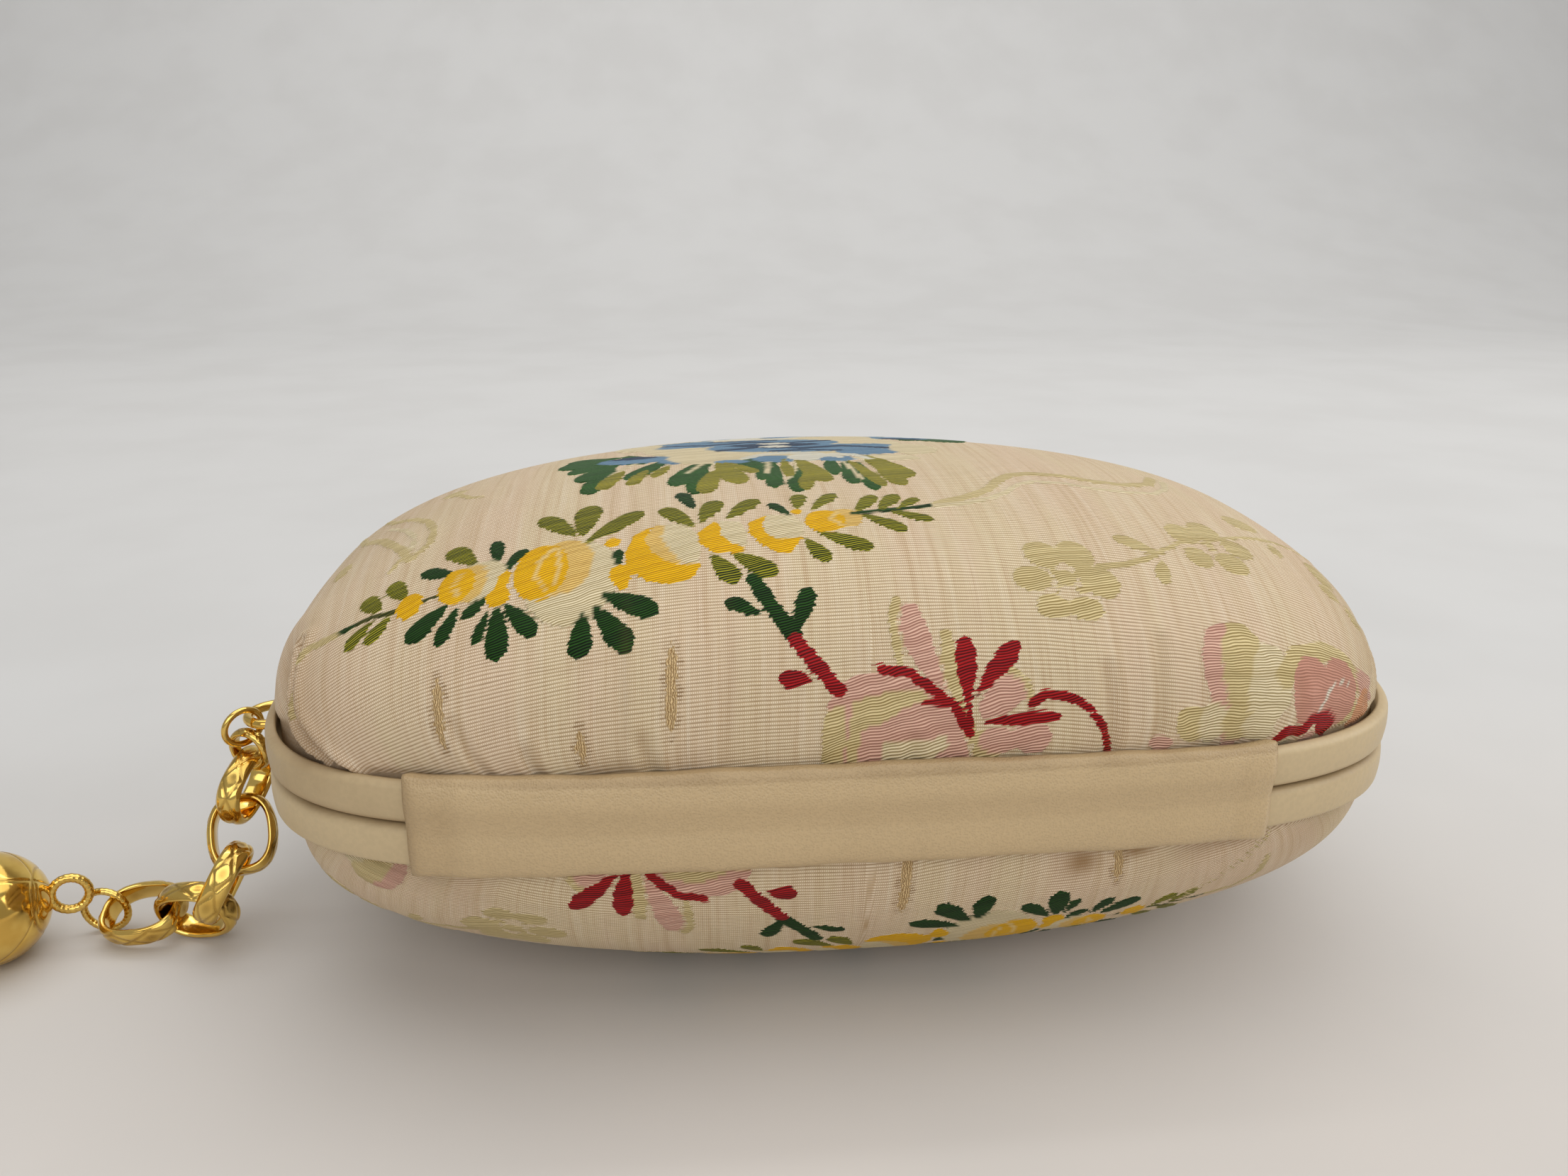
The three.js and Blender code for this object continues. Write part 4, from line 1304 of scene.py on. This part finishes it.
def strip_profile(thickness, low, high, rounded, steps, wrap=0.0):
    """Section of a strip: outwards distance and height. Its edges are rounded; wrap turns them in."""
    out = []
    for i in range(steps + 1):
        z = low + (high - low) * (0.5 - 0.5 * math.cos(math.pi * i / steps))
        edge = min(z - low, high - z)
        full = max(0.0, 1 - max(0.0, 1 - edge / rounded) ** 2.4) ** 0.6
        out.append((thickness * full, z))
    middle = (0.0, (low + high) / 2)
    if not wrap:
        return out + [(0.0, high - 0.1), middle, (0.0, low + 0.1)]
    turned_in = [(-wrap / 2, 0.03), (-wrap, 0.25), (-wrap, 0.6), (-0.1, 0.75)]
    out += [(depth, high - drop) for depth, drop in turned_in]
    out.append(middle)
    return out + [(depth, low + drop) for depth, drop in reversed(turned_in)]


def angle_at_x(x, inset, hinge_side):
    """Angle where the outline reaches a given x on one long side."""
    low, high = (-math.pi, 0.0) if hinge_side else (0.0, math.pi)
    for _ in range(40):
        middle = (low + high) / 2
        too_far = float(outline(np.array([middle]), inset)[0][0]) > x
        if too_far == hinge_side:
            high = middle
        else:
            low = middle
    return (low + high) / 2


def strip_mesh(from_x, to_x, steps, hinge_side, section_at):
    """Sweeps a section along the outline between two x places, closed at both ends."""
    rows = []
    for i in range(steps + 1):
        x = from_x + (to_x - from_x) * i / steps
        row = []
        for out, z in section_at(i / steps, x):
            inset = -FIT - out
            angle = angle_at_x(x, inset, hinge_side)
            px, py = outline(np.array([angle]), inset)
            row.append((float(px[0]), float(py[0]), z))
        rows.append(row)
    width = len(rows[0])
    return np.array(rows).reshape(-1, 3), capped_faces(len(rows), width), width


def placement(place):
    """Turns a chain piece's own axes to its place in the frame."""
    along = Vector(place.along).normalized()
    facing = Vector(place.facing)
    facing = (facing - along * facing.dot(along)).normalized()
    across = facing.cross(along)
    centre = (Vector(place.at) - Vector((HALF_LENGTH, 0, 0))) * MM
    turn = Matrix((along, across, facing)).transposed().to_4x4()
    return Matrix.Translation(centre) @ turn


def cut_at(across, step):
    """Depth of the engraving on a band: crossing grooves, a leaf between them, and two edge lines.

    across goes from -1 to 1 over the band, and step is how far round one repeat is.
    """
    saw = (abs(step * 2 - 1) * 2 - 1) * 0.78
    groove = max(hill(across, saw, 0.15), hill(across, -saw, 0.15))
    near = min(step, 1 - step, abs(step - 0.5))
    leaf = 0.9 * hill(near, 0, 0.09) * hill(across, 0, 0.42)
    return max(groove, leaf, 0.6 * hill(abs(across), 0.9, 0.05))


def band_mesh(band, engraving):
    """A band bent into an oval: flat inside, rounded and engraved outside."""
    half_x, half_y = (band.length - band.thickness) / 2, (band.width - band.thickness) / 2
    power = band.squareness
    turn = circle(band.steps)
    c, s = np.cos(turn), np.sin(turn)
    reach = (np.abs(c) ** power + np.abs(s) ** power) ** (-1 / power)
    centre = np.stack([half_x * c * reach, half_y * s * reach], 1)
    out_x = np.sign(c) * np.abs(c) ** (power - 1) / half_x
    out_y = np.sign(s) * np.abs(s) ** (power - 1) / half_y
    out = np.stack([out_x, out_y], 1)
    out /= np.linalg.norm(out, axis=1)[:, None]
    runs = np.linalg.norm(np.diff(centre, axis=0), axis=1)
    run = np.concatenate([[0], np.cumsum(runs)])
    total = run[-1] + np.linalg.norm(centre[0] - centre[-1])
    arch = np.sin(np.linspace(-1, 1, 25) * math.pi / 2) * 0.5
    outer = [(-0.2 + 0.7 * math.sqrt(max(0.0, 1 - abs(2 * a) ** 2.4)), a) for a in arch]
    inner = [(-0.42, 0.45), (-0.5, 0.34), (-0.5, 0.0), (-0.5, -0.34), (-0.42, -0.45)]
    section = np.array(outer + inner)
    cuts = np.zeros((band.steps, len(section)))
    for index, step in enumerate(run / total * band.repeats % 1):
        cuts[index, :len(outer)] = [cut_at(axial * 2, step) for radial, axial in outer]
    radial = section[:, 0] * band.thickness - cuts * engraving * band.cuts
    points = np.zeros(cuts.shape + (3,))
    points[:, :, :2] = centre[:, None] + out[:, None] * radial[:, :, None]
    points[:, :, 2] = section[:, 1] * band.band
    faces = wrapped_faces(band.steps, len(section), wrap_rows=True)
    return points.reshape(-1, 3), faces, cuts.ravel()


def hoop_mesh(hoop):
    """A round ring of wire, with slanting ridges if it is twisted."""
    a, b = circle(hoop.around)[:, None], circle(HOOP_SIDES)[None, :]
    groove = np.zeros((hoop.around, HOOP_SIDES))
    if hoop.ridges:
        groove = 0.5 + 0.5 * np.sin(hoop.ridges * a + b)
    radius = hoop.wire / 2 - hoop.ridge_depth * groove
    reach = (hoop.outer - hoop.wire) / 2 + radius * np.cos(b)
    points = np.stack([reach * np.cos(a), reach * np.sin(a), radius * np.sin(b)], -1)
    faces = wrapped_faces(hoop.around, HOOP_SIDES, wrap_rows=True)
    return points.reshape(-1, 3), faces, (groove * 0.5).ravel()


def gold_piece(name, node, made, place=None):
    """A gold piece from its points, faces and cuts, in its place on the root body."""
    points, faces, cuts = made
    obj = piece_from(name, points * MM, faces, [finish_named("gold_metal")])
    give(obj, "cut", cuts)
    if place is not None:
        obj.data.transform(placement(place))
    turned_out(obj)
    check_place(obj, node)
    seat(obj, "root", [node])


def check_place(obj, node):
    """Stops if a piece isn't where the frame has its node."""
    low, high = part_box(node)
    for axis in range(3):
        values = [v.co[axis] for v in obj.data.vertices]
        off = max(abs(min(values) - low[axis]), abs(max(values) - high[axis]))
        if off > PLACE_TOLERANCE * MM:
            raise RuntimeError(f"{obj.name} isn't where {node} is")


class CLUTCH_OT_finishes(Operator):
    """Makes the cloth, leather and gold materials"""

    bl_idname = "clutch.finishes"
    bl_label = "Finishes"

    def execute(self, context):
        sizes, colours = context.scene.clutch_sizes, context.scene.clutch_colours
        worn_and_shade_colour = tuple(colours.leather_worn_and_shade)
        Brocade(sizes, colours)
        lining_material(colours)
        leather_material("rim_leather", tuple(colours.rim), worn_and_shade_colour, 1.1, 0.02, 0.4)
        leather_material("hinge_leather", tuple(colours.strip), worn_and_shade_colour, 2.8, 0.08, 0.26)
        gold_material(colours)
        return {"FINISHED"}


class CLUTCH_OT_domes(Operator):
    """Builds the two padded brocade shells with their lining"""

    bl_idname = "clutch.domes"
    bl_label = "Brocade domes"

    def execute(self, context):
        sizes = context.scene.clutch_sizes
        finishes = [finish_named("silk_brocade"), finish_named("lining_cloth")]
        for name, side, body, node, stains in [
            ("brocade_dome_upper", 1, "lid", "upper_shell", UPPER_STAINS),
            ("brocade_dome_lower", -1, "root", "lower_shell", LOWER_STAINS),
        ]:
            points, faces, slots, values = dome_mesh(side, sizes, stains)
            obj = piece_from(name, points, faces, finishes, slots)
            for key, value in values.items():
                give(obj, key, value)
            turned_out(obj)
            seat(obj, body, [node])
        return {"FINISHED"}


class CLUTCH_OT_rims(Operator):
    """Builds the leather-covered frame rims"""

    bl_idname = "clutch.rims"
    bl_label = "Leather rims"

    def execute(self, context):
        angle = circle(RIM_STEPS)
        for name, side, body, node in [
            ("leather_rim_upper", 1, "lid", "upper_rim"),
            ("leather_rim_lower", -1, "root", "lower_rim"),
        ]:
            rows, wear_and_shade = [], []
            for inset, height, rub_and_shade in self.section():
                x, y = outline(angle, inset)
                rows.append(at_height(x, y, SEAM_Z + side * height))
                patchy = 0.1 * np.sin(23 * angle + height) + 0.08 * np.sin(41 * angle - 2 * height)
                # Darker towards the left end of the upper rim
                left_end_darker = 0.45 * np.clip((-x - 50) / 30, 0, 1) * (side > 0)
                wear_and_shade.append(rub_and_shade * (0.8 + patchy) + left_end_darker)
            faces = wrapped_faces(len(rows), RIM_STEPS, wrap_rows=True)
            obj = piece_from(name, np.concatenate(rows) * MM, faces, [finish_named("rim_leather")])
            give(obj, "wear_and_shade", np.clip(np.concatenate(wear_and_shade), 0, 1))
            turned_out(obj)
            seat(obj, body, [node])
        return {"FINISHED"}

    def section(self):
        """Inset from the outer face, height above the seam and darkening, round the rim's section. The
        darkening is least on the outer face, darkest at the seam where the two rims meet, and rises
        over the rounded top edge to painted shade on the lip and down in the seat where the cloth tucks
        in.
        """
        top = HALF_GAP + RIM_HEIGHT
        low_round, high_round = RIM_SEAM_ROUND, RIM_TOP_ROUND
        out = [(RIM_WIDTH, HALF_GAP + 0.3, 0.3), (RIM_WIDTH - 0.3, HALF_GAP, 0.4)]
        out.append((3.0, HALF_GAP, 0.5))
        for i in range(8):
            turn = i / 7 * math.pi / 2
            height = HALF_GAP + low_round * (1 - math.cos(turn))
            out.append((low_round * (1 - math.sin(turn)), height, 0.9 - 0.11 * i))
        for t in (1 / 6, 2 / 6, 3 / 6, 4 / 6, 5 / 6):
            height = HALF_GAP + low_round + (RIM_HEIGHT - low_round - high_round) * t
            out.append((-0.12 * math.sin(math.pi * t), height, 0.05))
        for i in range(8):
            turn = i / 7 * math.pi / 2
            height = top - high_round * (1 - math.sin(turn))
            out.append((high_round * (1 - math.cos(turn)), height, 0.05 + 0.05 * i))
        out += [(RIM_LIP, top, 0.6), (RIM_LIP, top - SEAT_DEPTH, 0.9)]
        return out + [(RIM_WIDTH, top - SEAT_DEPTH, 0.4)]


class CLUTCH_OT_hinge_strip(Operator):
    """Builds the leather strip that joins the two halves along the hinge side"""

    bl_idname = "clutch.hinge_strip"
    bl_label = "Hinge strip"

    def execute(self, context):
        sizes = context.scene.clutch_sizes
        thickness = sizes.strip_leather / MM
        over = sizes.strip_overlap / MM
        low = SEAM_Z - HALF_GAP - RIM_HEIGHT
        high = SEAM_Z + HALF_GAP + RIM_HEIGHT

        def section_at(part, x):
            end = min(part, 1 - part)
            flare = 0.3 * hill(end, 0, 0.02) + 0.4 * hill(end, 0, 0.09)
            wave = 0.10 * math.sin(x * 0.21) + 0.07 * math.sin(x * 0.53 + 1)
            lift = max(0.0, 1 - (x / STRIP_TO_X) ** 2)
            bottom = low - 0.3 * over - flare - wave + 0.3 * lift
            top = high + 1.4 * over + 0.4 * flare + wave + 0.8 * lift
            thin = 1 - 0.5 * hill(end, 0, 0.004)
            fold = 0.2 * hill(end, FOLD_AT, 0.012)
            out = []
            for depth, z in strip_profile(thickness, bottom, top, 2.2, 44, wrap=1.7):
                swell = sum(rise * hill(z - SEAM_Z, at, half) for at, half, rise in SWELLS)
                press = fold + 0.12 * hill(z, SEAM_Z, 0.5)
                face = min(1.0, max(0.0, depth) / (0.8 * thickness))
                out.append((depth * thin + (swell - press) * face, z))
            return out

        points, faces, width = strip_mesh(STRIP_FROM_X, STRIP_TO_X, STRIP_STEPS, True, section_at)
        part = np.repeat(np.arange(STRIP_STEPS + 1) / STRIP_STEPS, width)
        end = np.minimum(part, 1 - part)
        edge = np.minimum(points[:, 2] - low + over, high + over - points[:, 2])
        # Darker at the very ends and towards the rubbed left end, painted shade in the fold near each
        # end, and darker along the top and bottom edges and where the leather turns in
        wear_and_shade = 0.25 * hill(end, 0, 0.01) + 0.16 * hill(end, FOLD_AT, 0.02)
        wear_and_shade += 0.30 * hill(part, 0, 0.04) + 0.12 * hill(part, 0, 0.16)
        wear_and_shade = np.maximum(wear_and_shade, 0.6 * hill(np.maximum(edge, 0), 0, 0.5))
        obj = piece_from("hinge_strip", points * MM, faces, [finish_named("hinge_leather")])
        give(obj, "wear_and_shade", np.clip(wear_and_shade, 0, 1))
        turned_out(obj)
        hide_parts("hinge_cover_lower", "hinge_cover_upper")
        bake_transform(obj)
        return {"FINISHED"}


class CLUTCH_OT_clasp(Operator):
    """Builds the plain gold clasp on the opening side"""

    bl_idname = "clutch.clasp"
    bl_label = "Clasp"

    def execute(self, context):
        low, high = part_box("clasp")
        bottom, top = low[2] / MM, high[2] / MM

        def section_at(part, x):
            end = min(part, 1 - part)
            taper = 1 - 0.8 * max(0.0, 1 - end / 0.06) ** 2
            corner = 1.6 * max(0.0, 1 - end / 0.09) ** 2
            section = strip_profile(CLASP_THICKNESS, bottom + corner, top - corner, 0.9, 20)
            return [(depth * taper, z) for depth, z in section]

        points, faces, _ = strip_mesh(-CLASP_HALF, CLASP_HALF, 44, False, section_at)
        from_edge = np.minimum(points[:, 2] - bottom, top - points[:, 2])
        gold_piece("clasp_plate", "clasp", (points, faces, 0.5 * hill(from_edge, 1.3, 0.25)))
        return {"FINISHED"}


class CLUTCH_OT_chain(Operator):
    """Builds the eye, the rings and the engraved links of the wrist chain"""

    bl_idname = "clutch.chain"
    bl_label = "Wrist chain"

    def execute(self, context):
        engraving = context.scene.clutch_sizes.engraving / MM
        gold_piece("staple_eye", "chain_eye", self.eye())
        gold_piece("jump_ring_upper", "upper_ring", hoop_mesh(UPPER_HOOP), CHAIN["upper_ring"])
        small_band = band_mesh(SMALL_BAND, engraving)
        gold_piece("small_band_ring", "band_ring", small_band, CHAIN["band_ring"])
        link = band_mesh(BELCHER_LINK, engraving)
        for number in range(1, LINK_COUNT + 1):
            node = f"link_{number}"
            gold_piece(f"belcher_link_{number}", node, link, CHAIN[node])
        gold_piece("jump_ring_end", "end_ring", hoop_mesh(END_HOOP), CHAIN["end_ring"])
        return {"FINISHED"}

    def eye(self):
        """A bar bent to a staple, standing on the lower rim's left end."""
        low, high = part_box("chain_eye")
        height = (low[2] + high[2]) / 2 / MM
        foot = high[0] / MM
        bend = -HALF_LENGTH - EYE_REACH + EYE_WIRE / 2 + EYE_HALF
        route = [(foot, EYE_MIDDLE_Y + EYE_HALF, height)]
        for t in np.linspace(0, math.pi, 25):
            y = EYE_MIDDLE_Y + EYE_HALF * math.cos(t)
            route.append((bend - EYE_HALF * math.sin(t), y, height))
        route.append((foot, EYE_MIDDLE_Y - EYE_HALF, height))
        route = np.array(route)
        c, s = [f(circle(EYE_SIDES))[:, None] for f in (np.cos, np.sin)]
        rows = []
        for i, spot in enumerate(route):
            way = route[min(i + 1, len(route) - 1)] - route[max(i - 1, 0)]
            way /= np.linalg.norm(way)
            across = np.array([way[1], -way[0], 0.0])
            rows.append(spot + EYE_WIRE / 2 * (c * across + s * [0, 0, 1]))
        points = np.concatenate(rows)
        return points, capped_faces(len(rows), EYE_SIDES), np.zeros(len(points))


class CLUTCH_OT_ball(Operator):
    """Builds the engraved ball with its soldered ring"""

    bl_idname = "clutch.ball"
    bl_label = "Ball"

    def execute(self, context):
        engraving = context.scene.clutch_sizes.engraving / MM
        rows, columns = 150, 200
        lat, lon = np.meshgrid(np.linspace(0.01, math.pi - 0.01, rows), circle(columns), indexing="ij")
        across = np.sin(lat)
        unit = np.stack([np.cos(lat), across * np.cos(lon), across * np.sin(lon)], -1)
        cut = np.zeros((rows, columns))
        for normal, offset in BALL_CUTS:
            way = np.array(normal) / np.linalg.norm(normal)
            cut = np.maximum(cut, hill((unit @ way - offset) * BALL_RADIUS, 0, BALL_CUT_WIDTH))
        points = (unit * (BALL_RADIUS - 0.8 * engraving * cut[..., None])).reshape(-1, 3)
        ring, ring_faces, ring_cut = hoop_mesh(BALL_HOOP)
        ring = ring + [BALL_RADIUS + BALL_HOOP.outer / 2 - BALL_HOOP.wire * 0.6, 0, 0]
        faces = capped_faces(rows, columns)
        faces += [tuple(i + len(points) for i in face) for face in ring_faces]
        cuts = np.concatenate([cut.ravel(), ring_cut])
        gold_piece("chain_ball", "ball", (np.concatenate([points, ring]), faces, cuts), CHAIN["ball"])
        return {"FINISHED"}


class CLUTCH_OT_stage(Operator):
    """Sets up the floor, the soft lights and the camera"""

    bl_idname = "clutch.stage"
    bl_label = "Stage"

    def execute(self, context):
        scene = context.scene
        self.floor(scene.clutch_colours)
        for name, light in LIGHTS.items():
            self.light(name, light)
        scene.world = scene.world or bpy.data.worlds.new("studio")
        scene.world.use_nodes = True
        background = scene.world.node_tree.nodes["Background"]
        background.inputs["Color"].default_value = WORLD_COLOUR
        background.inputs["Strength"].default_value = WORLD_STRENGTH
        scene.view_settings.view_transform = "Standard"
        self.camera(scene)
        return {"FINISHED"}

    def floor(self, colours):
        """A pale sweep: flat under the clutch and curved up behind it."""
        profile = [(SWEEP_FRONT, 0.0), (SWEEP_BEND, 0.0)]
        for turn in np.linspace(0, math.pi / 2, 16):
            y = SWEEP_BEND + SWEEP_RADIUS * math.sin(turn)
            profile.append((y, SWEEP_RADIUS * (1 - math.cos(turn))))
        profile.append((SWEEP_BEND + SWEEP_RADIUS, SWEEP_TOP))
        xs = np.linspace(-SWEEP_HALF_WIDTH, SWEEP_HALF_WIDTH, 9)
        points = [(x, y, z) for y, z in profile for x in xs]
        faces = wrapped_faces(len(profile), len(xs), wrap_columns=False)
        obj = piece_from("pale_sweep", points, faces, [sweep_material(colours)])

    def light(self, name, light):
        """A soft box of light that looks at its target."""
        data = bpy.data.lights.new(name, "AREA")
        data.shape = "RECTANGLE"
        data.size, data.size_y = light.size
        data.energy = light.watts
        data.color = light.colour
        obj = bpy.data.objects.new(name, data)
        obj.location = light.place
        way = Vector(light.target) - Vector(light.place)
        obj.rotation_mode = "QUATERNION"
        obj.rotation_quaternion = way.to_track_quat("-Z", "Y")
        bpy.context.scene.collection.objects.link(obj)

    def camera(self, scene):
        """The photograph's view: just above the hinge side, turned a little to the right."""
        pitch, azimuth, roll = map(math.radians, (CAMERA_PITCH, CAMERA_AZIMUTH, CAMERA_ROLL))
        flat = math.cos(pitch)
        way = Vector((math.sin(azimuth) * flat, math.cos(azimuth) * flat, math.sin(pitch)))
        right = way.cross(Vector((0, 0, 1))).normalized()
        up = right.cross(way)
        turned_right = right * math.cos(roll) + up * math.sin(roll)
        turned_up = up * math.cos(roll) - right * math.sin(roll)
        data = bpy.data.cameras.new("photo_view")
        data.sensor_width = 36.0
        data.sensor_fit = "HORIZONTAL"
        data.lens = CAMERA_LENS
        data.clip_start, data.clip_end = 0.01, 20.0
        obj = bpy.data.objects.new("photo_view", data)
        turn = Matrix((turned_right, turned_up, -way)).transposed().to_4x4()
        obj.matrix_world = Matrix.Translation(Vector(CAMERA_PLACE) * MM) @ turn
        scene.collection.objects.link(obj)
        scene.camera = obj


class CLUTCH_PT_panel(Panel):
    """Sizes, colours and steps of the clutch"""

    bl_idname = "CLUTCH_PT_panel"
    bl_label = "Evening clutch"
    bl_space_type = "VIEW_3D"
    bl_region_type = "UI"
    bl_category = "Clutch"

    def draw(self, context):
        layout = self.layout
        for group in (context.scene.clutch_sizes, context.scene.clutch_colours):
            box = layout.box()
            for name in group.__annotations__:
                box.prop(group, name)
        for step in STEPS:
            layout.operator(step.bl_idname)


STEPS = [
    CLUTCH_OT_stage, CLUTCH_OT_finishes, CLUTCH_OT_domes, CLUTCH_OT_rims, CLUTCH_OT_hinge_strip,
    CLUTCH_OT_clasp, CLUTCH_OT_chain, CLUTCH_OT_ball,
]
CLASSES = [ClutchSizes, ClutchColours, CLUTCH_PT_panel] + STEPS


def register():
    for item in CLASSES:
        bpy.utils.register_class(item)
    bpy.types.Scene.clutch_sizes = PointerProperty(type=ClutchSizes)
    bpy.types.Scene.clutch_colours = PointerProperty(type=ClutchColours)


def unregister():
    del bpy.types.Scene.clutch_colours
    del bpy.types.Scene.clutch_sizes
    for item in reversed(CLASSES):
        bpy.utils.unregister_class(item)


def main():
    register()
    bpy.ops.clutch.stage()
    bpy.ops.clutch.finishes()
    bpy.ops.clutch.domes()
    bpy.ops.clutch.rims()
    bpy.ops.clutch.hinge_strip()
    bpy.ops.clutch.clasp()
    bpy.ops.clutch.chain()
    bpy.ops.clutch.ball()


if __name__ == "__main__":
    main()
